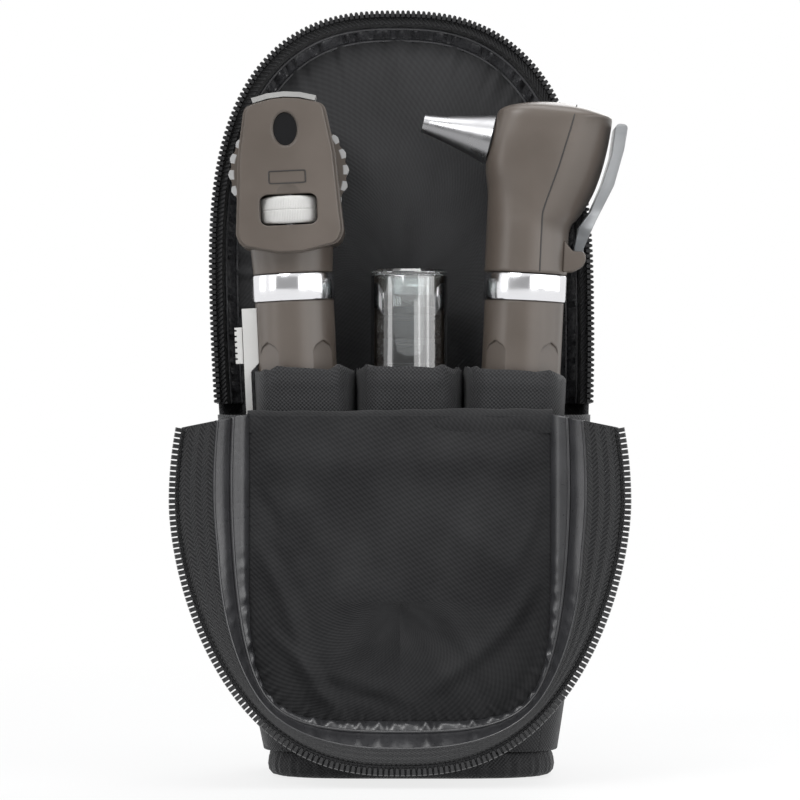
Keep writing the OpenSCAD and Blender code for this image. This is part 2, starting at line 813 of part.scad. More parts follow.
function head_half(grow) = [[3, face_foot - 0.8 - grow * 0.4],
    [face_w * 0.46 + grow, face_foot + 1 - grow * 0.2],
    [face_w / 2 + grow, face_foot + 3.6], [face_w / 2 - 0.5 + grow, face_foot + 10.4],
    [(face_w + face_top_w) / 4 + 0.4 + grow, face_foot + 22], [face_top_w / 2 + grow, face_top - 1.6]];
arch_at = [0, face_top - arch_r];
function head_arch(grow) = [for (a = [90 - arch_half:8:90 + arch_half])
    arch_at + (arch_r + grow * 0.15) * [cos(a), sin(a)]];
foot_radii = [2, 2.6, 2.6, 0, 0, 2.4];
head_radii = concat(foot_radii, [for (a = [90 - arch_half:8:90 + arch_half]) 0], reversed(foot_radii));
function frame(w, h) = [[-w / 2, -h / 2], [w / 2, -h / 2], [w / 2, h / 2], [-w / 2, h / 2]];
function head_line(grow) = let (h = head_half(grow)) concat(h, head_arch(grow),
    [for (i = [len(h) - 1:-1:0]) [-h[i][0], h[i][1]]]);

module oval(w, h, y, t) {
    translate([0, y, 0])
        rotate([90, 0, 0])
            linear_extrude(t)
                polygon([for (a = [0:15:345]) [w / 2 * cos(a), h / 2 * sin(a)]]);
}

readout_w = 8.6;
readout_h = 2.9;
scoop_r = 4.5;
module ophtho_face() {
    w = 13.7;
    h = wheel_h + 0.9;
    color(mocha)
        in_left()
            difference() {
                plate(rounded(head_line(0), head_radii), face_y + face_t, face_t);
                translate([0, 0, sight_z])
                    oval(aperture_w, aperture_h, face_y + face_t + 1, face_t + 2);
                translate([0, 0, readout_z])
                    plate(frame(readout_w, readout_h), face_y + face_t + 1, face_t + 2);
                translate([0, 0, wheel_z])
                    plate(rounded(frame(w, h), [2, 2, 2, 2]), face_y + face_t + 1, face_t + 2);
                translate([0, face_y - scoop_r * 0.75, wheel_z + 3.1])
                    sphere(r = scoop_r, $fn = 48);
            }
}

module ophtho_housing() {
    color(mocha)
        in_left()
            difference() {
                plate(rounded(head_line(0.7), head_radii), rear_y, head_d - face_t - 0.05);
                translate([0, dial_y + dial_t + 0.3, dial_z])
                    rotate([90, 0, 0])
                        cylinder(r = dial_r + 0.6, h = dial_t + 0.6, $fn = 96);
                translate([0, face_y + wheel_r - 1.1, wheel_z - wheel_h / 2 - 0.4])
                    cylinder(r = wheel_r + 0.5, h = wheel_h + 0.8, $fn = 72);
                translate([0, face_y + wheel_r - 1.1, wheel_z - wheel_h / 2 - 2.4])
                    cylinder(r = pin_r + seat, h = wheel_h + 4.8, $fn = 36);
                translate([0, rear_y + 1, sight_z])
                    rotate([90, 0, 0])
                        cylinder(r = 2.6, h = head_d + 2, $fn = 48);
                translate([0, dial_y + dial_t + 3, dial_z])
                    rotate([90, 0, 0])
                        cylinder(r = pin_r + seat, h = dial_t + 5, $fn = 36);
                translate([0, 0, 0])
                    cylinder(r = handle_r + 0.7, h = neck_top + 0.05, $fn = 72);
                translate([0, 0, neck_top - 1])
                    cylinder(r = lamp_r + run, h = 1.6, $fn = 36);
            }
}

brow_t = 1.2;
brow_gap = 0.25;
brow_d = 9;
brow_turns = [for (a = [90 - brow_half:9.5:90 + brow_half]) a];
module brow_rest() {
    color(white)
        in_left()
            plate(concat([for (a = brow_turns) arch_at + (arch_r + brow_gap + brow_t) * [cos(a), sin(a)]],
                [for (a = reversed(brow_turns)) arch_at + (arch_r + brow_gap) * [cos(a), sin(a)]]),
                face_y + brow_d, brow_d + 0.2);
}

module aperture_glass() {
    color(clear)
        in_left()
            translate([0, 0, sight_z])
                oval(aperture_w - 0.1, aperture_h - 0.1, face_y + face_t - 0.1, 0.8);
}

module readout_window() {
    color(clear)
        in_left()
            translate([0, 0, readout_z])
                plate(frame(readout_w - 0.1, readout_h - 0.1), face_y + face_t - 0.1, 1.2);
}

module lens_dial() {
    lens_holes = 12;
    points = scallops * 6;
    color(mocha)
        in_left()
            translate([0, dial_y + dial_t, dial_z])
                rotate([90, 0, 0])
                    difference() {
                        linear_extrude(dial_t)
                            polygon([for (i = [0:points - 1]) (dial_r - 0.35 + 0.35 * cos(360 * i / 6))
                                * [cos(360 * i / points), sin(360 * i / points)]]);
                        translate([0, 0, -1])
                            cylinder(r = pin_r + run, h = dial_t + 2, $fn = 36);
                        for (i = [0:lens_holes - 1])
                            rotate([0, 0, 360 * i / lens_holes])
                                translate([0, sight_z - dial_z, -1])
                                    cylinder(r = 1.9, h = dial_t + 2, $fn = 24);
                    }
}

module dial_pin() {
    color(steel)
        in_left()
            translate([0, dial_y + dial_t + 2.8, dial_z])
                rotate([90, 0, 0])
                    cylinder(r = pin_r, h = dial_t + 4.6, $fn = 36);
}

module thumbwheel() {
    knurls = 36;
    color(white)
        in_left()
            translate([0, face_y + wheel_r - 1.1, wheel_z - wheel_h / 2])
                difference() {
                    linear_extrude(wheel_h)
                        polygon([for (i = [0:knurls * 2 - 1]) (wheel_r - (i % 2) * 0.3)
                            * [cos(180 * i / knurls), sin(180 * i / knurls)]]);
                    translate([0, 0, -1])
                        cylinder(r = pin_r + run, h = wheel_h + 2, $fn = 36);
                }
}

module wheel_pin() {
    color(steel)
        in_left()
            translate([0, face_y + wheel_r - 1.1, wheel_z - wheel_h / 2 - 2.2])
                cylinder(r = pin_r, h = wheel_h + 4.4, $fn = 36);
}

module ophtho_clip() {
    in_left()
        clip(clip_root, clip_gap, clip_t);
}

module ophtho_switch() {
    in_left()
        slide_switch(clip_gap, clip_t, 1.8, 0.5);
}

// The otoscope's pieces
module oto_handle() {
    in_right()
        handle(flat_turn);
}

module oto_cells() {
    in_right()
        cells();
}

module oto_spring() {
    in_right()
        spring();
}

module oto_tail_cap() {
    in_right()
        tail_cap();
}

module oto_ring() {
    in_right()
        chrome_ring();
}

// The otoscope head's outline, from the ring's top, with heights counted from there
oz = ring_top;
front_foot = [-handle_r - 0.4, oz];
spec_at = [-9.7, oz + 31.4];
across = [sin(spec_tilt), cos(spec_tilt)];
face_low = spec_at - across * 6.4;
face_high = spec_at + across * 6.6;
front_line = [[-9.8, oz], [-9.8, oz + 19.5], face_low, face_high, [-3.9, oz + 39.9], [2.3, oz + 40.8],
    [6.4, oz + 40.7], [9.9, oz + 40.2]];
seam_line = [[8.8, oz + 34.6], [6.3, oz + 25.1], [3.8, oz + 17.1], [3, oz + 14.2], [3, oz]];
rear_line = [[9.8, oz], [9.8, oz + 11.6], [10.6, oz + 12.6], [13.7, oz + 16.1], [16.3, oz + 22.7],
    [18.1, oz + 29], [18.8, oz + 36.5], [18.5, oz + 37.5], [14.6, oz + 39]];
slit = 0.12;
shell_y = 14;
girth_r = handle_r + 0.45;
girth_x = 25;
girth_low = 10;
girth_mid = 20;
girth_high = 41.4;

// The head's shape across its depth: round at the neck, wider and rounded at the top
module oto_girth() {
    h = oto_d / 2;
    cylinder(r = girth_r, h = oz + girth_high + 1, $fn = 96);
    rotate([90, 0, 90])
        translate([0, 0, -girth_x])
            linear_extrude(girth_x * 2)
                polygon(rounded([[-girth_r / 2, oz + girth_low], [girth_r / 2, oz + girth_low],
                    [h, oz + girth_mid], [h, oz + girth_high], [-h, oz + girth_high],
                    [-h, oz + girth_mid]], [3, 3, 6, 7, 7, 6]));
}

bore = 4.6;
bore_in = 6;
module sight_bore() {
    translate([spec_at[0], 0, spec_at[1]])
        rotate([0, 90 + spec_tilt, 0])
            translate([0, 0, -bore_in])
                cylinder(r = bore, h = girth_high, $fn = 48);
}

module oto_front_shell() {
    color(mocha)
        in_right()
            difference() {
                intersection() {
                    plate(concat(front_line, seam_line), shell_y, shell_y * 2);
                    oto_girth();
                }
                sight_bore();
                translate([0, 0, oz - 3])
                    cylinder(r = lamp_r + run, h = 12, $fn = 36);
            }
}

hook_at = [11.9, oz + 3.6];
ear_y = 3.2;
hook_t = 1.8;
pin_half = ear_y + hook_t - 0.1;
ear_line = [[8.4, oz + 0.2], [10.2, oz + 0.4], [13.8, oz + 3.4], [12.8, oz + 5.6], [8.4, oz + 6.6]];
module oto_rear_shell() {
    shift = [slit, 0];
    color(mocha)
        in_right()
            difference() {
                union() {
                    intersection() {
                        plate(concat([for (q = reversed(seam_line)) q + shift],
                            [front_line[7] + shift], reversed(rear_line)), shell_y, shell_y * 2);
                        oto_girth();
                    }
                    for (s = [-1, 1])
                        translate([0, s * (ear_y + hook_t / 2), 0])
                            plate(rounded(ear_line, [0, 1, 1.2, 1.2, 0]), hook_t / 2, hook_t);
                }
                sight_bore();
                translate([0, 0, oz - 3])
                    cylinder(r = lamp_r + run, h = 12, $fn = 36);
                translate([hook_at[0], shell_y, hook_at[1]])
                    rotate([90, 0, 0])
                        cylinder(r = lens_pin_r + seat, h = shell_y * 2, $fn = 32);
            }
}

module magnifier_pin() {
    color(steel)
        in_right()
            translate([hook_at[0], pin_half, hook_at[1]])
                rotate([90, 0, 0])
                    cylinder(r = lens_pin_r, h = pin_half * 2, $fn = 32);
}

// The magnifier: a clear curved plate behind the head, on a narrow foot that turns on the pin
lens_line = [[11.3, oz + 6.2], [12, oz + 11.4], [14.4, oz + 15], [17.1, oz + 22.3], [18.8, oz + 28.8],
    [19.5, oz + 36.2], [22.3, oz + 36], [21.6, oz + 30], [19.6, oz + 21.4], [15.9, oz + 13.2],
    [13.4, oz + 6.4]];
foot_half = ear_y - 0.4;
eye_r = 1.7;
lens_front = [[-foot_half, oz + 2], [foot_half, oz + 2], [foot_half, oz + 9], [lens_w / 2, oz + 15], [lens_w / 2, oz + 38],
    [-lens_w / 2, oz + 38], [-lens_w / 2, oz + 15], [-foot_half, oz + 9]];
module oto_magnifier() {
    color(clear)
        in_right()
            difference() {
                union() {
                    intersection() {
                        plate(rounded(lens_line, [0, 0, 0, 0, 0, 1, 1, 0, 0, 0, 0]), shell_y, shell_y * 2);
                        rotate([90, 0, 90])
                            linear_extrude(girth_x)
                                polygon(rounded(lens_front, [0, 0, 2, 4, 4, 4, 4, 2]));
                    }
                    translate([hook_at[0], foot_half, hook_at[1]])
                        rotate([90, 0, 0])
                            cylinder(r = eye_r, h = foot_half * 2, $fn = 40);
                    plate([hook_at - [0.6, 0], hook_at + [1.5, 0], lens_line[10] + [0, 0.2],
                        lens_line[0] + [0, 0.4]], foot_half, foot_half * 2);
                }
                translate([hook_at[0], pin_half, hook_at[1]])
                    rotate([90, 0, 0])
                        cylinder(r = lens_pin_r + run, h = pin_half * 2, $fn = 32);
            }
}

// The speculum and the nozzle lie along an axis that points forward and slightly up
module on_spec_axis() {
    translate([spec_at[0], 0, spec_at[1]])
        rotate([0, -90 + spec_tilt, 0])
            children();
}

// Outside radius of the speculum at a distance from its base
function spec_out(u) = u < 0 ? spec_r + 0.2 : tip_r + (spec_r - tip_r) * pow(1 - u / spec_l, 1.25);
spec_shares = [0.01, 0.11, 0.24, 0.42, 0.6, 0.78, 0.92, 1];
module oto_speculum() {
    us = [for (share = spec_shares) share * spec_l];
    color(steel)
        in_right()
            on_spec_axis()
                rotate_extrude($fn = 72)
                    polygon(concat([for (u = us) [spec_out(u), u]],
                        [for (u = reversed(us)) [spec_out(u) - spec_t, u]]));
}

nozzle_l = 8;
nozzle_tip_r = 1.3;
nozzle_back = 5;
nozzle_back_r = 2.6;
module oto_nozzle() {
    color("dimgray")
        in_right()
            on_spec_axis()
                rotate_extrude($fn = 72)
                    polygon([[nozzle_back_r, -nozzle_back], [bore - seat, -nozzle_back],
                        [bore - seat, 0.1], [spec_out(1) - spec_t - 0.25, 0.2],
                        [spec_out(2.4) - spec_t - gap, 2.2],
                        [spec_out(nozzle_l + 1) - spec_t - gap, nozzle_l], [nozzle_tip_r, nozzle_l]]);
}

module oto_lamp() {
    color(steel)
        in_right()
            translate([0, 0, handle_top + 0.6]) {
                cylinder(r = lamp_r - 0.4, h = ring_h + 5, $fn = 36);
                translate([0, 0, ring_h + 4.8])
                    sphere(r = lamp_r - 0.6, $fn = 32);
            }
}

// The otoscope's clip and switch lie behind its handle, against the lining
rear_gap = 0.7;
rear_t = 1.1;
module oto_clip() {
    in_right()
        rotate([0, 0, -90])
            clip(clip_root, rear_gap, rear_t);
}

module oto_switch() {
    in_right()
        rotate([0, 0, -90])
            slide_switch(rear_gap, rear_t, 0.7, 0.3);
}

// The clear tube, its cap and its specula
tube_low = base_t + 0.5;
tube_x = mid_low_x + (channel_x - mid_low_x) * 0.5;
plug_h = 4;
tube_l = tube_top - tube_low;
module tube() {
    color(clear)
        translate([tube_x, axis_y, tube_low])
            rotate_extrude($fn = 72)
                polygon([[0, 0], [tube_r - 1, 0], [tube_r, 1], [tube_r, tube_l], [tube_r - tube_t, tube_l],
                    [tube_r - tube_t, 1.4], [0, 1.4]]);
}

module tube_cap() {
    r = tube_r - tube_t - run;
    color(clear)
        translate([tube_x, axis_y, tube_top])
            rotate_extrude($fn = 72)
                polygon([[0, -1], [r - 1.2, -1], [r - 1.2, -plug_h], [r, -plug_h], [r, 0.1], [tube_r, 0.1],
                    [tube_r, 0.9], [tube_r - 0.6, 1.5], [tube_r - 3, 1.9], [0, 2]]);
}

stack_r = tube_r - tube_t - 0.4;
cup_h = 22;
stack_drop = 5.6;
module specula_stack() {
    top = tube_top - plug_h - stack_drop;
    color("dimgray")
        for (i = [0:spec_count - 1])
            translate([tube_x, axis_y, top - i * spec_step])
                rotate_extrude($fn = 48)
                    polygon([[stack_r, 0], [stack_r, -1.2], [stack_r - 0.9, -1.4], [2.6, -cup_h],
                        [2, -cup_h],
                        [stack_r - 1.7, -1.2], [stack_r - 0.8, 0]]);
}

back_panel();
back_gusset();
back_board();
back_lining();
back_binding();
back_zip_tape();
back_zip_teeth();
pouch_front();
pouch_side_left();
pouch_side_right();
base_panel();
base_roll();
pocket_left();
pocket_middle();
pocket_right();
flap_panel();
flap_lining();
flap_gusset();
flap_binding();
flap_zip_tape();
flap_zip_teeth();
zip_slider();
zip_pull();
ophtho_handle();
ophtho_cells();
ophtho_spring();
ophtho_tail_cap();
ophtho_ring();
ophtho_neck();
ophtho_lamp();
ophtho_housing();
ophtho_face();
brow_rest();
aperture_glass();
readout_window();
lens_dial();
dial_pin();
thumbwheel();
wheel_pin();
ophtho_clip();
ophtho_switch();
oto_handle();
oto_cells();
oto_spring();
oto_tail_cap();
oto_ring();
oto_front_shell();
oto_rear_shell();
oto_nozzle();
oto_lamp();
oto_speculum();
oto_magnifier();
magnifier_pin();
oto_clip();
oto_switch();
tube();
tube_cap();
specula_stack();
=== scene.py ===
"""An open soft carry case with its ophthalmoscope, tube of specula and otoscope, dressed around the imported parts."""
import json
import math

import bmesh
import bpy
import numpy as np
from mathutils import Matrix, Vector


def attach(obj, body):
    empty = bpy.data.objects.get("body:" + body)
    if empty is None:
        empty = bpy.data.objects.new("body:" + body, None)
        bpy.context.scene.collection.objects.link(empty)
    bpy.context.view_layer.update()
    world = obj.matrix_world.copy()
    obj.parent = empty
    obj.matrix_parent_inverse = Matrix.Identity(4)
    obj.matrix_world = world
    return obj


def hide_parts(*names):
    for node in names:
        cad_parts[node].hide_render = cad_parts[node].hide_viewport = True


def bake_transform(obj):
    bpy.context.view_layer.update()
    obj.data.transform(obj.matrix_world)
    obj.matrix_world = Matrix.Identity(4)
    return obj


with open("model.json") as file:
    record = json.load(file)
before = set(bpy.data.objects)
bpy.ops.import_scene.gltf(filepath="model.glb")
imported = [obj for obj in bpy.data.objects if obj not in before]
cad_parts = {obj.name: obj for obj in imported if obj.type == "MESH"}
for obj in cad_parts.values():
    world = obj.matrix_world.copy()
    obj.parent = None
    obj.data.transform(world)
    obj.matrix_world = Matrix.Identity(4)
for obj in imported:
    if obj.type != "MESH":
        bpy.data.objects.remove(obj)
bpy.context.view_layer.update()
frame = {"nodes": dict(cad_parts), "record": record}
MM = 0.001
rng = np.random.default_rng(7)

# Sizes in millimetres, as the solids have them
CASE_H, BACK_W, ARCH_Z, ARCH_POWER, MID_Z = 181.9, 90.9, 115.5, 2.6, 135.0
POUCH_D, FOLD_Z, BASE_W, BASE_SHIFT, ZIP_Y, BACK_FLARE = 42.0, 86.0, 68.0, 2.6, 10.6, 7.0
WALL, PANEL_T, BOARD_T, LINING_T = 1.3, 1.3, 0.8, 3.6
BASE_T, ROLL_H, ROLL_IN = 2.6, 6.2, 4.0
FLAP_W, FLAP_LOW, FLAP_WIDE_Z, FLAP_POWER, FLAP_LOW_POWER, FLAP_D = 103.2, 4.2, 65.6, 2.5, 1.7, 17.0
FLAP_PANEL_W, FLAP_PANEL_UP, FLAP_PANEL_POWER, FLAP_PANEL_T, FLAP_LINING_T = 73.0, 8.4, 4.8, 1.2, 1.8
BACK_Y = POUCH_D / 2
FRONT_Y = -POUCH_D / 2
GUSSET_Y = BACK_Y - PANEL_T - 0.2
BACK_D = GUSSET_Y - ZIP_Y
CLOTH_Y = BACK_Y - PANEL_T - BOARD_T - 0.1 - LINING_T
SHOULDER_Z = FOLD_Z - 3.4
FLAP_BACK_Y = FRONT_Y - 0.4
FLAP_MID_Y = FLAP_BACK_Y - FLAP_PANEL_T
FLAP_FACE_Y = FLAP_MID_Y - 0.05 - FLAP_LINING_T
FLAP_FRONT_Y = FLAP_MID_Y - FLAP_D
WALL_LOW = ROLL_H + 0.3
AXIS_Y = -4.5

# The two instruments' own frames: the handle's axis is Z, the tail cap's foot is 0
LEFT_AT, LEFT_LEAN = np.array([-20.2454, AXIS_Y, 4.6]), math.radians(2.6)
RIGHT_AT, RIGHT_LEAN = np.array([24.4795, AXIS_Y, 4.6]), math.radians(-2.7)
FACE_Y, DIAL_Z, DIAL_R, WHEEL_Z, WHEEL_R, WHEEL_H = -14.5, 138.7, 14.4, 129.1, 7.0, 6.4
SIGHT_Z, READOUT_Z, READOUT_W, READOUT_H = 148.0, 136.7, 8.6, 2.9
APERTURE_W, APERTURE_H, PIN_R = 6.2, 8.4, 1.4


# Lines that the soft pieces follow

def resample(points, count):
    """Points at equal steps of length along a line, each coordinate read off against the length so far."""
    length = np.r_[0, np.cumsum(np.linalg.norm(np.diff(points, axis=0), axis=1))]
    steps = np.linspace(0, length[-1], count)
    return np.stack([np.interp(steps, length, points[:, k]) for k in range(points.shape[1])], 1)


def signed_power(v, p):
    """v's size raised to p, with v's sign kept."""
    return np.sign(v) * np.abs(v) ** p


def side_half(z):
    """Half the case's width: half the zip width, less the square of how far z is below the arch."""
    return BACK_W / 2 - (BACK_W - BASE_W) / 2 * np.clip(1 - z / ARCH_Z, 0, None) ** 2


def middle(z):
    """Middle of the case: a straight line from the base's shift through 0 at MID_Z."""
    return BASE_SHIFT * (1 - z / MID_Z)


def rim(inset, low, count):
    """The back half's edge drawn in by an inset: two sides that follow side_half, joined by a superellipse."""
    z = np.linspace(low, ARCH_Z, 60, endpoint=False)
    t = np.linspace(np.pi, 0, 241)
    arch_z = ARCH_Z + (CASE_H - ARCH_Z - inset) * np.abs(np.sin(t)) ** (2 / ARCH_POWER)
    arch_x = middle(arch_z) + (BACK_W / 2 - inset) * signed_power(np.cos(t), 2 / ARCH_POWER)
    left = np.stack([middle(z) - side_half(z) + inset, z], 1)
    right = np.stack([middle(z) + side_half(z) - inset, z], 1)[::-1]
    return resample(np.concatenate([left, np.stack([arch_x, arch_z], 1), right]), count)


def flap_line(half, depth, power, low_power, top, draw_in, count):
    """The flap's edge: a shoulder on each side of a superellipse with one power across and another down."""
    k = np.linspace(1, 0, 30, endpoint=False)
    shoulder = np.stack([-(half - draw_in * k * k), FLAP_WIDE_Z + (top - FLAP_WIDE_Z) * k], 1)
    t = np.linspace(np.pi, 0, 301)
    bowl = np.stack([half * signed_power(np.cos(t), 2 / power),
                     FLAP_WIDE_Z - depth * np.abs(np.sin(t)) ** (2 / low_power)], 1)
    return resample(np.concatenate([shoulder, bowl, shoulder[::-1] * [-1, 1]]), count)


def ripple(s, waves, seed):
    """Several sine waves of given (length, height) added along s, each with its own start."""
    local = np.random.default_rng(seed)
    return sum(h * np.sin(2 * np.pi * (s / w + local.random())) for w, h in waves)


def lengths(points):
    """Length so far along each row of points."""
    step = np.linalg.norm(np.diff(points, axis=0), axis=-1)
    return np.concatenate([np.zeros((1,) + step.shape[1:]), np.cumsum(step, 0)])


def leaning(points, at, lean):
    """Points of an instrument's own frame, turned about Y by its lean and set where it stands."""
    x, y, z = np.moveaxis(np.asarray(points, float), -1, 0)
    c, s = math.cos(lean), math.sin(lean)
    return np.stack([x * c - z * s, y, x * s + z * c], -1) + at


# Meshes

def piece(name, points, material, body, slot, close_u=False, close_v=False, cap=False, replaces=(), sharp=None,
          levels=0):
    """A mesh over a grid of points in millimetres; its UV map holds the mean lengths along both ways in metres."""
    grid = np.asarray(points, float) * MM
    n, m = grid.shape[:2]
    index = np.arange(n * m).reshape(n, m)
    if close_u:
        index, grid = np.concatenate([index, index[:1]]), np.concatenate([grid, grid[:1]])
    if close_v:
        index, grid = np.concatenate([index, index[:, :1]], 1), np.concatenate([grid, grid[:, :1]], 1)
    u = lengths(grid).mean(1)
    v = lengths(grid.transpose(1, 0, 2)).mean(1)
    corners = [(slice(None, -1), slice(None, -1)), (slice(1, None), slice(None, -1)),
               (slice(1, None), slice(1, None)), (slice(None, -1), slice(1, None))]
    faces = np.stack([index[c] for c in corners], -1).reshape(-1, 4)
    uv_grid = np.stack(np.broadcast_arrays(u[:, None], v[None, :]), -1)
    uv = np.stack([uv_grid[c] for c in corners], -2).reshape(-1, 2)
    rings = [index[0, :m][::-1].tolist(), index[-1, :m].tolist()] if cap else []
    mesh = bpy.data.meshes.new(name)
    mesh.from_pydata(np.asarray(points, float).reshape(-1, 3) * MM, [], faces.tolist() + rings)
    layer = mesh.uv_layers.new(name="UVMap")
    flat = np.zeros((len(mesh.loops), 2), np.float32)
    flat[:len(uv)] = uv
    layer.data.foreach_set("uv", flat.ravel())
    return dress(mesh, name, material, body, replaces, sharp, levels)


def dress(mesh, name, material, body, replaces=(), sharp=None, levels=0):
    """Puts a mesh into the scene, turns its faces outwards, smooths it and makes it ride."""
    work = bmesh.new()
    work.from_mesh(mesh)
    bmesh.ops.remove_doubles(work, verts=work.verts, dist=1e-7)
    bmesh.ops.recalc_face_normals(work, faces=work.faces)
    work.to_mesh(mesh)
    work.free()
    mesh.polygons.foreach_set("use_smooth", np.ones(len(mesh.polygons), bool))
    if sharp is not None:
        mesh.set_sharp_from_angle(angle=math.radians(sharp))
    mesh.materials.append(material)
    obj = bpy.data.objects.new(name, mesh)
    bpy.context.scene.collection.objects.link(obj)
    if levels:
        sub = obj.modifiers.new("smooth", "SUBSURF")
        sub.levels = sub.render_levels = levels
    if body:
        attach(obj, body)
    if replaces:
        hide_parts(*replaces)
    return obj


def carry(paths, depths):
    """A band whose section point j lies at depths[j] on the line paths[j]: points of (x, depth, z)."""
    return np.stack([np.stack([p[:, 0], np.broadcast_to(d, len(p)), p[:, 1]], 1)
                     for p, d in zip(paths, depths)], 1)


def tube_along(line, radius, sides=10):
    """A round tube along a line of 3-D points: at each point a circle square to the line's direction."""
    tangent = np.gradient(line, axis=0)
    tangent /= np.linalg.norm(tangent, axis=1, keepdims=True)
    across = np.cross(tangent, [0, 1, 0])
    across /= np.linalg.norm(across, axis=1, keepdims=True)
    up = np.cross(across, tangent)
    a = np.linspace(0, 2 * np.pi, sides, endpoint=False)
    r = np.broadcast_to(radius, len(line))[:, None, None]
    return line[:, None] + r * (np.cos(a)[None, :, None] * across[:, None] + np.sin(a)[None, :, None] * up[:, None])


def blanket(name, front, depth, *dressing, **more):
    """A closed cloth: its front face, and a rear face that lies a depth further along Y."""
    return piece(name, thick(front, front + [0, depth, 0]), *dressing, close_v=True, cap=True, **more)


def thick(outer, inner):
    """A closed section grid from an outer and an inner face: one way along the outer and back along the inner."""
    return np.concatenate([outer, inner[:, ::-1]], 1)


# Materials

def material(name, colour, roughness, metallic=0.0, **sockets):
    """A Principled material with its uniform values set on its own sockets."""
    mat = bpy.data.materials.new(name)
    mat.use_nodes = True
    shader = mat.node_tree.nodes["Principled BSDF"]
    shader.inputs["Base Color"].default_value = (*colour, 1)
    shader.inputs["Roughness"].default_value = roughness
    shader.inputs["Metallic"].default_value = metallic
    for key, value in sockets.items():
        shader.inputs[key.replace("_", " ")].default_value = value
    mat.diffuse_color = (*colour, 1)
    return mat


class Nodes:
    """Short calls that add nodes to one material and join them."""

    def __init__(self, mat):
        self.tree = mat.node_tree
        self.shader = self.tree.nodes["Principled BSDF"]

    def add(self, kind, **values):
        node = self.tree.nodes.new(kind)
        for key, value in values.items():
            setattr(node, key, value)
        return node

    def put(self, target, value):
        if isinstance(value, bpy.types.NodeSocket):
            self.tree.links.new(value, target)
        else:
            target.default_value = value

    def math(self, operation, a, b=0.0, c=0.0):
        node = self.add("ShaderNodeMath", operation=operation)
        for i, value in enumerate((a, b, c)):
            self.put(node.inputs[i], value)
        return node.outputs[0]

    def place(self, kind="UV", scale=(1, 1, 1), turn=0.0):
        coord = self.add("ShaderNodeTexCoord")
        node = self.add("ShaderNodeMapping")
        self.put(node.inputs["Vector"], coord.outputs[kind])
        node.inputs["Scale"].default_value = scale
        node.inputs["Rotation"].default_value = (0, 0, turn)
        return node.outputs[0]

    def noise(self, vector, scale, detail=2.0, roughness=0.5):
        node = self.add("ShaderNodeTexNoise")
        self.put(node.inputs["Vector"], vector)
        node.inputs["Scale"].default_value = scale
        node.inputs["Detail"].default_value = detail
        node.inputs["Roughness"].default_value = roughness
        return node.outputs["Fac"]

    def split(self, vector):
        node = self.add("ShaderNodeSeparateXYZ")
        self.put(node.inputs[0], vector)
        return node.outputs

    def ramp(self, value, low, high, a, b):
        node = self.add("ShaderNodeMapRange")
        for key, v in zip(("Value", "From Min", "From Max", "To Min", "To Max"), (value, low, high, a, b)):
            self.put(node.inputs[key], v)
        return node.outputs[0]

    def blend(self, share, a, b):
        node = self.add("ShaderNodeMix", data_type="RGBA")
        self.put(node.inputs["Factor"], share)
        self.put(node.inputs["A"], (*a, 1) if isinstance(a, tuple) else a)
        self.put(node.inputs["B"], (*b, 1) if isinstance(b, tuple) else b)
        return node.outputs["Result"]

    def bump(self, height, distance, strength=1.0, normal=None):
        node = self.add("ShaderNodeBump")
        node.inputs["Distance"].default_value = distance
        node.inputs["Strength"].default_value = strength
        self.put(node.inputs["Height"], height)
        if normal is not None:
            self.put(node.inputs["Normal"], normal)
        return node.outputs[0]

    def out(self, colour=None, rough=None, normal=None):
        if colour is not None:
            self.put(self.shader.inputs["Base Color"], colour)
        if rough is not None:
            self.put(self.shader.inputs["Roughness"], rough)
        if normal is not None:
            self.put(self.shader.inputs["Normal"], normal)


def twill(name, dark, light, pitch, turn, roughness, sheen, depth=0.00006):
    """Diagonal ribs at one pitch, broken into short floats by a second wave, with a soft cloud of wear."""
    mat = material(name, dark, roughness, Sheen_Weight=sheen, Sheen_Roughness=0.5, Specular_IOR_Level=0.25)
    n = Nodes(mat)
    uv = n.place("UV", turn=turn)
    x, y, _ = n.split(uv)
    rib = n.math("SINE", n.math("MULTIPLY", x, 2 * math.pi / pitch))
    float_ = n.math("SINE", n.math("MULTIPLY", n.math("ADD", y, n.math("MULTIPLY", x, 0.5)), 2 * math.pi / pitch / 1.7))
    weave = n.math("ADD", n.math("MULTIPLY", rib, 0.35), n.math("MULTIPLY", float_, 0.15))
    cloud = n.noise(n.place("UV"), 60, 3)
    share = n.math("ADD", n.ramp(cloud, 0.3, 0.7, 0.1, 0.7), n.math("MULTIPLY", weave, 0.4))
    n.out(n.blend(share, dark, light), n.ramp(cloud, 0.2, 0.8, roughness - 0.08, roughness + 0.06),
          n.bump(weave, depth))
    return mat


def plain_weave(name, dark, light, pitch, roughness, sheen, depth=0.00008):
    """Warp and weft ribs that cross, as two sine waves multiplied."""
    mat = material(name, dark, roughness, Sheen_Weight=sheen, Sheen_Roughness=0.4, Specular_IOR_Level=0.3)
    n = Nodes(mat)
    x, y, _ = n.split(n.place("UV"))
    warp = n.math("SINE", n.math("MULTIPLY", x, 2 * math.pi / pitch))
    weft = n.math("SINE", n.math("MULTIPLY", y, 2 * math.pi / pitch))
    weave = n.math("MULTIPLY", warp, weft)
    cloud = n.noise(n.place("UV"), 45, 3)
    n.out(n.blend(n.ramp(n.math("ADD", weave, cloud), -0.5, 1.5, 0, 1), dark, light), None, n.bump(weave, depth))
    return mat


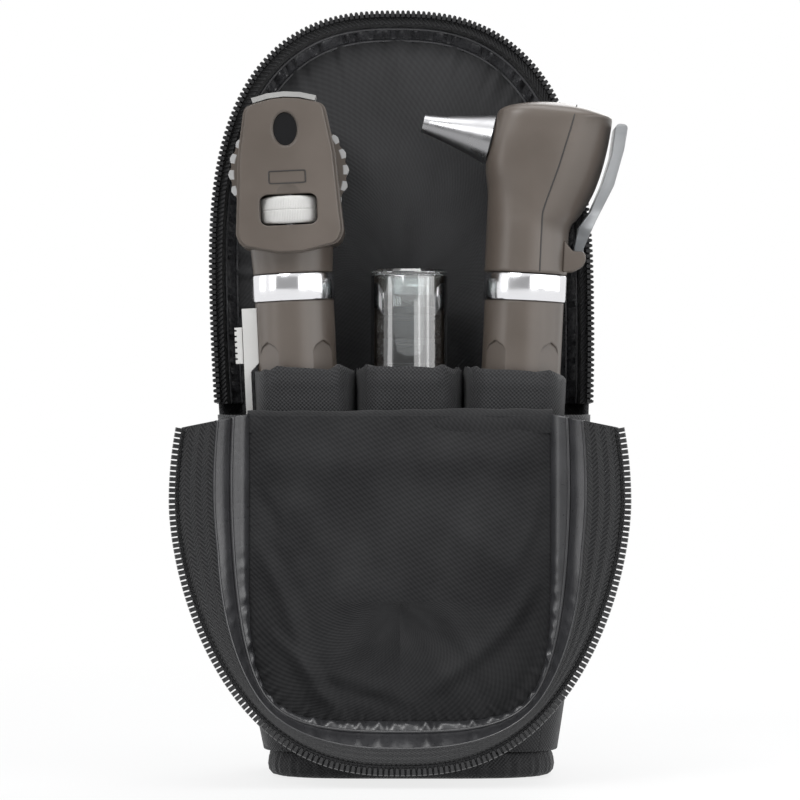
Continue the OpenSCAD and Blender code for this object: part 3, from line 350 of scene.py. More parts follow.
def herringbone(name, dark, light, pitch, column, roughness):
    """Ribs that slope one way and then the other: the lengthways place is shifted by a zigzag of the crossways one."""
    mat = material(name, dark, roughness, Sheen_Weight=0.1, Specular_IOR_Level=0.35)
    n = Nodes(mat)
    x, y, _ = n.split(n.place("UV"))
    zig = n.math("PINGPONG", y, column)
    rib = n.math("SINE", n.math("MULTIPLY", n.math("ADD", x, zig), 2 * math.pi / pitch))
    n.out(n.blend(n.ramp(rib, -1, 1, 0.05, 0.95), dark, light), None, n.bump(rib, 0.00012))
    return mat


def coated(name, dark, light, roughness, grain=900, depth=0.00005, coat=0.25):
    """A glossy coated cloth: fine grain and slow creases that change its roughness."""
    mat = material(name, dark, roughness, Coat_Weight=coat, Coat_Roughness=0.25)
    n = Nodes(mat)
    place = n.place("UV")
    fine = n.noise(place, grain, 4, 0.6)
    slow = n.noise(place, 120, 3)
    n.out(n.blend(n.ramp(slow, 0.3, 0.7, 0, 1), dark, light), n.ramp(fine, 0.3, 0.7, roughness - 0.07, roughness + 0.1),
          n.bump(n.math("ADD", fine, n.math("MULTIPLY", slow, 2)), depth))
    return mat


def moulded(name, dark, light, roughness, grain=1800, depth=0.00001, edge=0.0, **sockets):
    """Moulded plastic: a fine spark-etched grain, a slow drift of tone, rubbed patches, and softly rounded edges."""
    mat = material(name, dark, roughness, **sockets)
    n = Nodes(mat)
    place = n.place("Object")
    fine = n.noise(place, grain, 3, 0.6)
    slow = n.noise(place, 70, 3)
    soft = None
    if edge:
        bevel = n.add("ShaderNodeBevel", samples=6)
        bevel.inputs["Radius"].default_value = edge
        soft = bevel.outputs[0]
    n.out(n.blend(n.ramp(slow, 0.3, 0.7, 0, 1), dark, light), n.ramp(slow, 0.3, 0.7, roughness - 0.05, roughness + 0.05),
          n.bump(fine, depth, normal=soft))
    return mat


def turned(name, colour, roughness, anis=0.0):
    """Polished or turned metal with a faint drift of roughness."""
    mat = material(name, colour, roughness, 1.0, Anisotropic=anis)
    n = Nodes(mat)
    slow = n.noise(n.place("Object"), 160, 3)
    n.out(None, n.ramp(slow, 0.3, 0.7, roughness * 0.7, roughness * 1.4))
    return mat


def clear(name, colour, roughness, ior=1.49):
    """Clear plastic with a faint haze and a bright polished skin."""
    mat = material(name, colour, roughness, Transmission_Weight=1.0, IOR=ior, Coat_Weight=1.0, Coat_IOR=1.75,
                   Coat_Roughness=0.04, Specular_IOR_Level=1.0)
    n = Nodes(mat)
    haze = n.noise(n.place("Object"), 90, 3)
    n.out(None, n.ramp(haze, 0.3, 0.8, roughness * 0.5, roughness * 1.8))
    return mat


LINING = twill("twill_lining", (0.022, 0.022, 0.023), (0.048, 0.048, 0.05), 0.0008, math.radians(45), 0.75, 0.2)
# The flap's lining and the fold are a darker copy of the back's twill: painted shade that offsets the stronger light
# falling on the flap.
FLAP_LINING_PAINTED_SHADE = twill("flap_lining_twill_painted_shade", (0.004, 0.004, 0.005), (0.03, 0.03, 0.031), 0.0008, math.radians(45),
                    0.78, 0.08)
SHELL = plain_weave("woven_shell", (0.014, 0.014, 0.015), (0.034, 0.034, 0.036), 0.0009, 0.7, 0.2)
POCKET = plain_weave("pocket_cloth", (0.007, 0.007, 0.008), (0.042, 0.042, 0.044), 0.0009, 0.7, 0.1)
TAPE = herringbone("zip_tape", (0.004, 0.004, 0.005), (0.024, 0.024, 0.025), 0.0011, 0.0017, 0.65)
BACK_BINDING = coated("glossy_back_binding", (0.035, 0.035, 0.038), (0.075, 0.075, 0.08), 0.27)
BINDING = coated("glossy_binding", (0.022, 0.022, 0.024), (0.04, 0.04, 0.043), 0.32)
TEETH = moulded("zip_teeth", (0.008, 0.008, 0.009), (0.016, 0.016, 0.017), 0.28, Coat_Weight=0.2)
LACQUER = moulded("zip_metal", (0.01, 0.01, 0.011), (0.02, 0.02, 0.021), 0.3, Coat_Weight=0.5)
BOARD = moulded("stiff_board", (0.06, 0.06, 0.06), (0.08, 0.08, 0.08), 0.8)
# The pale grey at the end of this line is painted highlight for the dial's scalloped rim.
MOCHA_DARK, MOCHA_LIGHT, PAINTED_HIGHLIGHT_GREY = (0.1, 0.081, 0.067), (0.12, 0.098, 0.082), (0.5, 0.5, 0.5)
MOCHA = moulded("mocha_plastic", MOCHA_DARK, MOCHA_LIGHT, 0.36, edge=0.0006)
WHITE = moulded("white_plastic", (0.62, 0.61, 0.59), (0.7, 0.69, 0.67), 0.42, edge=0.0003)
BROW = moulded("brow_plastic", (0.3, 0.295, 0.285), (0.36, 0.355, 0.345), 0.5)
INK = moulded("printed_line", (0.02, 0.018, 0.017), (0.03, 0.027, 0.025), 0.5)
DARK = moulded("dark_plastic", (0.02, 0.02, 0.022), (0.035, 0.035, 0.037), 0.4)
SLEEVE = moulded("cell_wrap", (0.02, 0.03, 0.02), (0.03, 0.04, 0.03), 0.3)
CHROME = turned("ring_chrome", (0.8, 0.8, 0.82), 0.15)
STEEL = turned("steel", (0.5, 0.5, 0.52), 0.25)
ALUMINIUM = turned("speculum_metal", (0.31, 0.31, 0.318), 0.3)
ACRYLIC = clear("clear_acrylic", (0.93, 0.97, 0.97), 0.04)
FROSTED = clear("frosted_cap", (0.86, 0.9, 0.9), 0.1)
# The sight's glass: its near-black colour is painted shade for the unlit inside behind the sight; its gloss is its own.
SIGHT_GLASS_PAINTED_SHADE = material("dark_glass", (0.004, 0.004, 0.005), 0.04)
LENS = moulded("magnifier_lens", (0.24, 0.25, 0.26), (0.46, 0.47, 0.48), 0.3, grain=260, edge=0.0005,
               Transmission_Weight=0.6, IOR=1.49)
BY_SLOT = {"woven_shell": SHELL, "twill_lining": LINING, "glossy_binding": BINDING, "zip_tape": TAPE,
           "zip_teeth": TEETH, "zip_metal": LACQUER, "stiff_board": BOARD, "mocha_plastic": MOCHA,
           "ring_chrome": CHROME, "white_plastic": WHITE, "speculum_metal": ALUMINIUM, "steel": STEEL,
           "cell_wrap": SLEEVE, "dark_plastic": DARK, "dark_glass": SIGHT_GLASS_PAINTED_SHADE, "clear_acrylic": ACRYLIC,
           "frosted_cap": FROSTED}


def dial_painted_highlights():
    """The dial's plastic with painted highlights at its rim: pale pads, one for each scallop, where the angle's wave is
    high, for the light the scallops' edges catch.
    """
    mat = material("dial_plastic_painted_highlights", MOCHA_DARK, 0.4)
    n = Nodes(mat)
    x, _, z = n.split(n.place("Object"))
    mid = leaning([0, 0, DIAL_Z], LEFT_AT, LEFT_LEAN) * MM
    dx, dz = n.math("SUBTRACT", x, mid[0]), n.math("SUBTRACT", z, mid[2])
    radius = n.math("SQRT", n.math("ADD", n.math("MULTIPLY", dx, dx), n.math("MULTIPLY", dz, dz)))
    turn = n.math("SUBTRACT", n.math("ARCTAN2", dz, dx), LEFT_LEAN)
    wave = n.math("COSINE", n.math("MULTIPLY", turn, SCALLOPS))
    outside = n.ramp(radius, (DIAL_R - 1.5) * MM, (DIAL_R - 1.2) * MM, 0, 1)
    # Pale pads on the scallops: painted highlight, not the dial's own colour.
    share = n.math("MULTIPLY", outside, n.ramp(wave, -0.35, -0.15, 0, 1))
    n.out(n.blend(share, MOCHA_DARK, PAINTED_HIGHLIGHT_GREY), None, n.bump(n.noise(n.place("Object"), 1500), 0.00001))
    return mat


SCALLOPS = 22
BY_NODE = {"lens_dial": dial_painted_highlights(), "brow_rest": BROW, "oto_magnifier": LENS}


def dress_solids():
    """Every solid takes its own material, or the one of its slot in the record."""
    for part in frame["record"]["subparts"]:
        mesh = frame["nodes"][part["node"]].data
        mesh.materials.clear()
        mesh.materials.append(BY_NODE.get(part["node"], BY_SLOT[part["material_slot"]]))


dress_solids()


# The back half

RIM_COUNT = 420
ZIP_LOW = FOLD_Z + 2


def shell_inset(share):
    """How far the gusset's outer face is drawn in, at a share of its depth: a slow curve that ends at the flare."""
    return BACK_FLARE * np.interp(share, [0, 0.5, 0.8, 1], [0, 0.13, 0.4, 1])


def soft_inset(share):
    """The same as shell_inset, rounded by a weighted mean of near shares."""
    near = np.linspace(-0.08, 0.08, 5)
    return np.mean([shell_inset(np.clip(share + d, 0, 1)) for d in near], 0)


def back_shell():
    """The gusset: outer and inner face carried round the case's edge."""
    share = np.linspace(0, 1, 15)
    outer_in, y = soft_inset(share), ZIP_Y + share * BACK_D
    outer = carry([rim(i, WALL_LOW, RIM_COUNT) for i in outer_in], y)
    inner = carry([rim(i + WALL, WALL_LOW, RIM_COUNT) for i in outer_in], y - 0.1)
    s = np.linspace(0, 420, RIM_COUNT)
    sag = ripple(s, ((37, 0.12), (23, 0.1), (11, 0.05)), 3)[:, None] * np.sin(np.pi * share)[None]
    outer[:, :, 1] += sag
    inner[:, :, 1] += sag
    return piece("back_shell", thick(outer, inner), SHELL, "case", "woven_shell", close_v=True, cap=True,
                 replaces=["back_gusset"])


def back_cover():
    """The padded outer back panel: a dish of rays from the middle to the edge, crowned outwards."""
    v = np.linspace(-1, 1, 61)
    line = rim(BACK_FLARE - 1.6, WALL_LOW, 361)
    left, right = line[:181], line[::-1][:181]
    centre = np.stack([middle(np.minimum(left[:, 1], ARCH_Z)), np.minimum(left[:, 1], ARCH_Z)], 1)
    edge = np.where(v[None, :, None] < 0, left[:, None], right[:, None])
    flat = centre[:, None] + np.abs(v)[None, :, None] * (edge - centre[:, None])
    crown = 0.9 * (1 - np.abs(v)[None] ** 4) * np.ones((181, 1))
    y = BACK_Y - 1.0 + crown
    outer = np.stack([flat[..., 0], y, flat[..., 1]], -1)
    made = blanket("back_cover", outer, -1.0, SHELL, "case", "woven_shell", replaces=["back_panel"])
    return made


def back_tape():
    """The zip tape on the gusset's front edge, a thin strip that turns over the edge."""
    inset = [-0.3, -0.3, 0.6, WALL + 0.9, WALL + 1.6, WALL + 0.85, WALL + 0.2, 0.6]
    depth = [ZIP_Y - 0.6, ZIP_Y - 1.2, ZIP_Y - 1.3, ZIP_Y - 1.15, ZIP_Y + 3.8, ZIP_Y + 3.8, ZIP_Y - 0.6, ZIP_Y - 0.6]
    paths = [rim(i, ZIP_LOW, RIM_COUNT) for i in inset]
    return piece("back_tape", carry(paths, depth), TAPE, "case", "zip_tape", close_v=True, cap=True,
                 replaces=["back_zip_tape"], sharp=50)


def teeth(name, line, depth, out, tall, pitch, node, sunk=0.0):
    """Moulded teeth: one small rounded block repeated at equal steps of the line, square to it."""
    total = lengths(line)[-1]
    count = int(total / pitch)
    spots = resample(line, count * 2 + 1)
    at, ahead = spots[1::2], spots[2::2] - spots[:-1:2]
    ahead /= np.linalg.norm(ahead, axis=1, keepdims=True)
    side = np.stack([-ahead[:, 1], ahead[:, 0]], 1)
    half = pitch * 0.4
    ring = np.array([[-1, -0.55], [-0.95, 0.6], [-0.6, 1], [0.6, 1], [0.95, 0.6], [1, -0.55]])
    a = ring[:, 0] * half
    b = ring[:, 1] * out * 0.62 + out * 0.38 - sunk
    flat = at[:, None] + a[None, :, None] * ahead[:, None] + b[None, :, None] * side[:, None]
    shrink = at[:, None] + 0.8 * (flat - at[:, None])
    k = len(ring)
    layers = [(shrink, depth - tall / 2), (flat, depth - tall * 0.28), (flat, depth + tall * 0.28),
              (shrink, depth + tall / 2)]
    points = np.stack([np.stack([f[..., 0], np.full(f.shape[:2], y), f[..., 1]], -1) for f, y in layers], 1)
    base = np.arange(count)[:, None, None] * 4 * k
    j = np.arange(k)
    quads = np.concatenate([np.stack([m * k + j, m * k + (j + 1) % k, (m + 1) * k + (j + 1) % k, (m + 1) * k + j], -1)
                            for m in range(3)])
    lids = [np.array([[0, 5, 4, 3], [0, 3, 2, 1]]), np.array([[0, 3, 4, 5], [0, 1, 2, 3]]) + 3 * k]
    faces = (np.concatenate([quads, *lids])[None] + base).reshape(-1, 4)
    mesh = bpy.data.meshes.new(name)
    mesh.from_pydata(points.reshape(-1, 3) * MM, [], faces.tolist())
    mesh.uv_layers.new(name="UVMap")
    body = "flap" if name.startswith("flap") else "case"
    return dress(mesh, name, TEETH, body, replaces=[node], sharp=40)


def back_strips():
    """Glossy binding with a gathered surface, and the piping seams on both its sides."""
    a, b = BACK_FLARE * 0.13 + WALL + 0.25, BACK_FLARE * 0.4 + WALL + 0.3
    share = np.linspace(0, 1, 11)
    s = np.linspace(0, 300, 700)
    gather = ripple(s, ((4.3, 0.16), (6.1, 0.2), (9.3, 0.16), (3.1, 0.08)), 11)
    top = np.clip((np.sin(np.pi * np.linspace(0, 1, 700)) - 0.35) / 0.5, 0.25, 1)
    swell = 0.5 * np.sin(np.pi * share)[None] * (1 + 1.5 * (gather * top)[:, None] / 0.2)
    inset = a + (b + 0.9 - a) * share
    y = ZIP_Y + 3.9 + (BACK_D * 0.78 - 3.9) * share
    front = carry([rim(i, ZIP_LOW, 700) for i in inset], y)
    front[:, :, 1] -= swell + 0.35
    rear = carry([rim(i, ZIP_LOW, 700) for i in inset], y + 0.1)
    made = piece("back_binding_strip", thick(front, rear), BACK_BINDING, "case", "glossy_binding", close_v=True, cap=True,
                 replaces=["back_binding"])
    for name, i, depth, radius in (("back_piping_outer", WALL + 1.75, ZIP_Y + 2.6, 0.42),
                                   ("back_piping_inner", b + 1.15, ZIP_Y + BACK_D * 0.78 - 0.4, 0.38)):
        line = rim(i, ZIP_LOW, 520)
        path = np.stack([line[:, 0], np.full(len(line), depth), line[:, 1]], 1)
        piece(name, tube_along(path, radius, 8), BACK_BINDING, "case", "glossy_binding", close_v=True, cap=True)
    return made


def back_cloth():
    """The lining: rays from the middle to the edge, flat in the middle, turned up to the binding at the edge."""
    rows, cols = 261, 121
    v = np.linspace(-1, 1, cols)
    v = np.sign(v) * (1 - (1 - np.abs(v)) ** 1.6)
    line = rim(BACK_FLARE * 0.4 + WALL + 1.4, WALL_LOW, 2 * rows - 1)
    left, right = line[:rows], line[::-1][:rows]
    level = np.minimum(left[:, 1], ARCH_Z)
    centre = np.stack([middle(level), level], 1)
    edge = np.where(v[None, :, None] < 0, left[:, None], right[:, None])
    flat = centre[:, None] + np.abs(v)[None, :, None] * (edge - centre[:, None])
    away = np.linalg.norm(flat - edge, axis=-1)
    turned_up = np.clip(1 - away / 5.0, 0, 1) ** 2
    x, z = flat[..., 0], flat[..., 1]
    deep = CLOTH_Y + 0.15 + 1.1 * np.clip(1 - away / 30, 0, 1)
    y = deep * (1 - turned_up) + (ZIP_Y + BACK_D * 0.74) * turned_up
    s = np.linspace(0, 210, rows)[:, None]
    folds = 0.5 * np.sin(z / 9 + x / 14 + 1.1) * np.sin(x / 11 + 0.6) + 0.3 * np.sin((x + z) / 6.5 + np.sin(z / 8))
    gathers = ripple(s, ((4.7, 0.24), (7.1, 0.3), (3.2, 0.12)), 5) * np.exp(-(away / 7) ** 2)
    y = y - np.clip(folds, -0.55, 0.7) * np.clip(away / 6, 0, 1) * np.clip((z - 100) / 10, 0, 1) - gathers
    front = np.stack([x, y, z], -1)
    made = blanket("back_cloth", front, 0.5, LINING, "case", "twill_lining", replaces=["back_lining"])
    return made


back_shell()
back_cover()
back_tape()
back_strips()
back_cloth()
teeth("back_teeth", rim(-0.3, ZIP_LOW, 900), ZIP_Y - 2.0, 1.9, 1.5, 1.25, "back_zip_teeth", 1.25)


# The pouch, its base and its pocket

FRONT_POWER = 6


def wall_point(t, z, inset):
    """The pouch's plan: a superellipse of power 6 from the zip line to the front, at height z."""
    x = middle(z) + (side_half(z) - inset) * signed_power(np.cos(t), 2 / FRONT_POWER)
    y = ZIP_Y - 0.2 + (FRONT_Y - ZIP_Y + 0.2 + inset) * np.abs(np.sin(t)) ** (2 / FRONT_POWER)
    return x, y


def pouch_wall(name, start, end, count, node):
    """One wall of the pouch: outer and inner face over angle and height, sagging between the roll and the fold."""
    t = np.radians(np.linspace(start, end, count))[:, None]
    z = np.linspace(WALL_LOW, FOLD_Z - 0.6, 61)[None]
    up = (z - WALL_LOW) / (FOLD_Z - 0.6 - WALL_LOW)
    soft = 0.35 * np.sin(np.pi * up) * np.sin(t * 5 + z / 17) + 0.2 * np.sin(z / 7 + 3 * t)
    soft = soft * np.sin(np.pi * up) * np.sin(np.linspace(0, np.pi, count))[:, None]
    faces = []
    for inset in (0.0, WALL):
        x, y = wall_point(t, z, inset + 0.25 + np.clip(soft, -0.25, 0.6))
        faces.append(np.stack([x, y, np.broadcast_to(z, x.shape)], -1))
    shell = np.concatenate([faces[0], faces[1][:, ::-1]], 1)
    return piece(name, shell, SHELL, "case", "woven_shell", close_v=True, cap=True, replaces=[node])


def base_point(t, inset):
    """The base's plan: a squarish closed curve of power 4."""
    return (BASE_SHIFT + (BASE_W / 2 - inset) * signed_power(np.cos(t), 0.5),
            (POUCH_D / 2 - inset) * signed_power(np.sin(t), 0.5))


def base_ring():
    """The rolled edge round the base, pinched at its seam, with small gathers."""
    t = np.linspace(0, 2 * np.pi, 361)[:-1]
    section = [(3.85, 0.3), (2.2, 0.25), (1.0, 0.6), (0.3, 1.5), (0.05, 2.9), (0.25, 4.5), (0.8, 5.7), (0.7, 6.2),
               (1.2, 6.15), (1.25, 5.2), (1.15, 3.8), (2.2, 2.8), (3.85, 2.6)]
    s = t * 30
    gather = (ripple(s, ((3.3, 0.07), (5.1, 0.08)), 21))
    rows = []
    for inset, z in section:
        x, y = base_point(t, inset + gather * (1 if z < 5.5 else 0.4))
        rows.append(np.stack([x, y, np.full_like(x, z)], -1))
    return piece("base_ring", np.stack(rows, 1), SHELL, "case", "woven_shell", close_u=True, close_v=True,
                 replaces=["base_roll"])


def channel_face(top_x, low_x, top_w, low_w, inset, depth, back, square):
    """A pocket channel's face: an arch in plan whose width and place run from the lower end to the mouth."""
    t = np.linspace(np.pi, 0, 97)[:, None]
    f = np.linspace(0, 1, 81)[None]
    half = (low_w + (top_w - low_w) * f) / 2 - 0.08 - inset
    cx = low_x + (top_x - low_x) * f
    x = cx + half * signed_power(np.cos(t), square)
    y = back - depth * np.abs(np.sin(t)) ** square
    z = CHANNEL_LOW + (POCKET_Z - CHANNEL_LOW) * f + 0 * t
    return x, y, z, f, t


LEFT_W, MIDDLE_W, RIGHT_W, LOW_W, MIDDLE_LOW_W = 24.4, 25.7, 24.8, 21.6, 23.8
CHANNEL_LOW, CHANNEL_D, CHANNEL_X, POCKET_Z, POCKET_T = 12.0, 30.8, 2.2, 95.4, 0.6
LEFT_X, RIGHT_X = CHANNEL_X - (MIDDLE_W + LEFT_W) / 2, CHANNEL_X + (MIDDLE_W + RIGHT_W) / 2
LEFT_LOW, RIGHT_LOW = CHANNEL_X - (MIDDLE_LOW_W + LOW_W) / 2, CHANNEL_X + (MIDDLE_LOW_W + LOW_W) / 2


def channel(name, top_x, low_x, top_w, low_w, node, seed, mouth):
    """One channel of the pocket: a thin cloth arch whose mouth waves and whose front creases a little."""
    shells = []
    for inset, less in ((0.0, 0.0), (POCKET_T, POCKET_T + 0.1)):
        x, y, z, f, t = channel_face(top_x, low_x, top_w, low_w, inset, CHANNEL_D - less, CLOTH_Y - 0.15 - less / 2,
                                     0.4)
        wave = np.interp(np.degrees(t[:, 0]), *mouth)[:, None]
        hem = ripple(np.degrees(t[:, 0]) / 3.2, ((9.0, 0.3), (5.5, 0.2), (14.0, 0.3)), int(seed * 10))[:, None]
        z = z + wave * f ** 6 + hem * f ** 12
        crease = 0.3 * np.sin(z / 5.1 + 4 * t + seed) * np.sin(t) * np.clip(f * 3, 0, 1)
        lip = 0.35 * np.exp(-((f - 0.965) / 0.018) ** 2) + 0.5 * hem * f ** 10
        y = y - np.clip(crease, -0.1, 0.25) - lip * np.sin(t)
        shells.append(np.stack([x, y, z], -1))
    made = piece(name, thick(shells[0].transpose(1, 0, 2), shells[1].transpose(1, 0, 2)), POCKET, "case",
                 "twill_lining", close_v=True, cap=True, replaces=[node])
    return made


pouch_wall("pouch_front_wall", 128, 52, 81, "pouch_front")
pouch_wall("pouch_left_wall", 180, 128.4, 61, "pouch_side_left")
pouch_wall("pouch_right_wall", 51.6, 0, 61, "pouch_side_right")
base_ring()
channel("channel_left", LEFT_X, LEFT_LOW, LEFT_W, LOW_W, "pocket_left", 0.4, ([0, 60, 120, 180], [-0.2, 1.4, 0.6, -0.9]))
channel("channel_middle", CHANNEL_X, CHANNEL_X, MIDDLE_W, MIDDLE_LOW_W, "pocket_middle", 1.7,
        ([0, 50, 100, 150, 180], [0.3, 0.9, 1.5, 0.9, -0.1]))
channel("channel_right", RIGHT_X, RIGHT_LOW, RIGHT_W, LOW_W, "pocket_right", 3.1,
        ([0, 40, 90, 150, 180], [-2.2, -1.3, 0.6, 1.2, 0.3]))


# The flap

FLAP_HALF, FLAP_B = FLAP_W / 2, FLAP_WIDE_Z - FLAP_LOW
PANEL_HALF, PANEL_B, PANEL_TOP = FLAP_PANEL_W / 2, FLAP_B - FLAP_PANEL_UP, FOLD_Z - 0.6
FLAP_COUNT = 560
ZIP_LINE = flap_line(FLAP_HALF, FLAP_B, FLAP_POWER, FLAP_LOW_POWER, SHOULDER_Z, 1.6, FLAP_COUNT)
PANEL_LINE = flap_line(PANEL_HALF, PANEL_B, FLAP_PANEL_POWER, FLAP_PANEL_POWER, PANEL_TOP, 0, FLAP_COUNT)
FLAP_S = np.linspace(0, 1, FLAP_COUNT)


def flare(share, inward):
    """A point of the flared gusset: between the panel's edge and the zip edge, bowed forward and moved inward."""
    share, inward = np.broadcast_arrays(share, inward)
    share, inward = share[..., None], inward[..., None]
    step = ZIP_LINE - PANEL_LINE
    way = step / np.linalg.norm(step, axis=1, keepdims=True)
    flat = PANEL_LINE[:, None] + step[:, None] * share - way[:, None] * inward * 0.7
    y = FLAP_MID_Y - FLAP_D * share + 2.2 * np.sin(np.pi * share) - inward * 0.7
    return np.concatenate([flat[..., :1], np.broadcast_to(y, flat[..., :1].shape), flat[..., 1:]], -1)


def flap_strip(name, start, end, lift, thickness, crown, count, mat, slot_name, node, gather=None):
    """A strip of the flared gusset with a crowned face and, where asked, small gathers."""
    k = np.linspace(0, 1, count)[None]
    start, end = np.broadcast_to(start, FLAP_COUNT)[:, None], np.broadcast_to(end, FLAP_COUNT)[:, None]
    share = start + (end - start) * k
    rise = lift + thickness + crown * np.sin(np.pi * k)
    if gather is not None:
        rise = rise + gather[:, None] * np.sin(np.pi * k)
    rise = np.broadcast_to(rise, (FLAP_COUNT, count))
    front = flare(np.broadcast_to(share, rise.shape), rise)
    rear = flare(np.broadcast_to(share, rise.shape), np.full_like(rise, lift))
    return piece(name, thick(front, rear), mat, "flap", slot_name, close_v=True, cap=True,
                 replaces=[node] if node else ())


def flap_piping(name, share, rise, radius, mat=None):
    """A thin sewn cord that runs round the flap at one share of its flare."""
    line = flare(np.broadcast_to(share, FLAP_COUNT)[:, None], np.full((FLAP_COUNT, 1), rise))[:, 0]
    return piece(name, tube_along(line, radius, 8), mat or BINDING, "flap", "glossy_binding", close_v=True, cap=True)


def flap_gusset():
    """The woven gusset behind the strips, from the panel to the zip edge."""
    share = np.linspace(0.02, 1, 17)[None]
    outer = flare(np.broadcast_to(share, (FLAP_COUNT, 17)), np.zeros((FLAP_COUNT, 17)))
    inner = flare(np.broadcast_to(share, (FLAP_COUNT, 17)), np.full((FLAP_COUNT, 17), WALL))
    return piece("flap_shell", thick(outer, inner), SHELL, "flap", "woven_shell", close_v=True, cap=True,
                 replaces=["flap_gusset"])


FLAP_CREASES = (((-35, 58), (-16, 20), 2.6, 1.3), ((-28, 34), (-12, 12), 2.0, 1.0), ((-3, 66), (-1, 36), 4.5, 1.0),
                ((6, 40), (20, 18), 3.2, -1.3), ((33, 46), (10, 21), 2.6, 1.1), ((34, 30), (22, 14), 2.0, -0.9),
                ((-36, 72), (-30, 60), 2.2, -0.9), ((35, 70), (27, 52), 2.4, 0.8), ((-20, 24), (2, 15), 2.2, -0.8),
                ((12, 62), (24, 50), 4.0, 0.7), ((-24, 66), (-14, 48), 4.0, 0.7))


def creased(x, z, start, end, width, height):
    """A soft crease along a segment: a hump beside a hollow, a Gaussian across it, fading out at both ends."""
    a, b = np.array(start, float), np.array(end, float)
    way = (b - a) / np.linalg.norm(b - a)
    along = (x - a[0]) * way[0] + (z - a[1]) * way[1]
    bend = 1.6 * np.sin(along / 9)
    off = ((x - a[0]) * way[1] - (z - a[1]) * way[0] + bend) / width
    end_fade = 1 / (1 + np.exp(-along / 2.5)) / (1 + np.exp((along - np.linalg.norm(b - a)) / 2.5))
    return height * (0.55 + off) * np.exp(-off ** 2) * end_fade


def flap_cloth():
    """The padded lining: rays from the middle to the panel's edge, with slanting soft folds and a puckered edge."""
    rows, cols = 281, 141
    half, depth = PANEL_HALF - 0.2, PANEL_B - 0.2
    line = flap_line(half, depth, FLAP_PANEL_POWER, FLAP_PANEL_POWER, PANEL_TOP, 0, 2 * rows - 1)
    left, right = line[:rows], line[::-1][:rows]
    level = np.maximum(left[:, 1], FLAP_WIDE_Z - depth * 0.45)
    centre = np.stack([np.zeros(rows), level], 1)
    v = np.linspace(-1, 1, cols)
    v = np.sign(v) * (1 - (1 - np.abs(v)) ** 1.5)
    edge = np.where(v[None, :, None] < 0, left[:, None], right[:, None])
    flat = centre[:, None] + np.abs(v)[None, :, None] * (edge - centre[:, None])
    away = np.linalg.norm(flat - edge, axis=-1)
    x, z = flat[..., 0], flat[..., 1]
    fade = np.clip(away / 7, 0, 1) ** 1.3
    folds = 0.2 * np.sin((x * 0.5 - z) / 8.3 + 1.2) + 0.15 * np.sin(x / 9 + z / 31)
    for crease in FLAP_CREASES:
        folds = folds + creased(x, z, *crease)
    band = 0.9 * np.exp(-((z - 75 - 0.04 * x) / 4.2) ** 2)
    s = np.linspace(0, 190, rows)[:, None]
    pucker = ripple(s, ((4.6, 0.2), (6.9, 0.22), (3.1, 0.08)), 9) * np.exp(-(away / 3.6) ** 2)
    bottom = np.clip((40 - z) / 25, 0.15, 1)
    crown = 1.2 * np.clip(away / 9, 0, 1) ** 0.7
    y = FLAP_FACE_Y + 0.9 - crown - fade * (folds + band) - pucker * bottom
    made = blanket("flap_cloth", np.stack([x, y, z], -1), 0.5, FLAP_LINING_PAINTED_SHADE, "flap", "twill_lining",
                   replaces=["flap_lining"])
    return made


def flap_cover():
    """The flap's outer panel, seen from behind: rays from the middle to the edge, crowned towards the pouch."""
    rows, cols = 181, 61
    line = flap_line(PANEL_HALF, PANEL_B, FLAP_PANEL_POWER, FLAP_PANEL_POWER, PANEL_TOP, 0, 2 * rows - 1)
    left, right = line[:rows], line[::-1][:rows]
    level = np.maximum(left[:, 1], FLAP_WIDE_Z - PANEL_B * 0.45)
    centre = np.stack([np.zeros(rows), level], 1)
    v = np.linspace(-1, 1, cols)
    edge = np.where(v[None, :, None] < 0, left[:, None], right[:, None])
    flat = centre[:, None] + np.abs(v)[None, :, None] * (edge - centre[:, None])
    x, z = flat[..., 0], flat[..., 1]
    y = FLAP_BACK_Y - 0.6 + 0.45 * (1 - np.abs(v)[None] ** 3) * np.sin(np.clip((z - 12) / 74, 0, 1) * np.pi)
    made = blanket("flap_cover", np.stack([x, y, z], -1), -0.4, SHELL, "flap", "woven_shell",
                   replaces=["flap_panel"])
    return made


FOLD_SECTION = np.array([[-19.4, 84.0], [-19.5, 85.4], [-20.4, 86.2], [-21.8, 86.5], [-23.1, 86.1], [-23.9, 85.2],
                         [-24.2, 84.0], [-24.2, 82.6], [-23.9, 81.0]])


def fold_fabric():
    """The lining where it rolls over the fold: a smoothed section carried across, with small cross wrinkles."""
    line = resample(FOLD_SECTION, 41)
    near = np.concatenate([[line[0]] * 3, line, [line[-1]] * 3])
    line = np.mean([near[k:k + 41] for k in range(7)], 0)
    out = np.gradient(line, axis=0)
    out = np.stack([-out[:, 1], out[:, 0]], 1) / np.linalg.norm(out, axis=1, keepdims=True)
    x = np.linspace(-35.6, 35.6, 261)[:, None]
    swell = 0.12 * np.sin(x / 1.9 + np.sin(x / 5)) * np.sin(np.linspace(0, np.pi, 41))[None] + 0.3 * np.sin(x / 13)
    faces = [np.stack([x + 0 * line[None, :, 0], line[None, :, 0] - out[None, :, 0] * (k + swell),
                       line[None, :, 1] - out[None, :, 1] * (k + swell)], -1) for k in (0.25, -0.25)]
    made = piece("fold_fabric", thick(*faces), FLAP_LINING_PAINTED_SHADE, None, "twill_lining", close_v=True, cap=True)
    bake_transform(made)
    return made


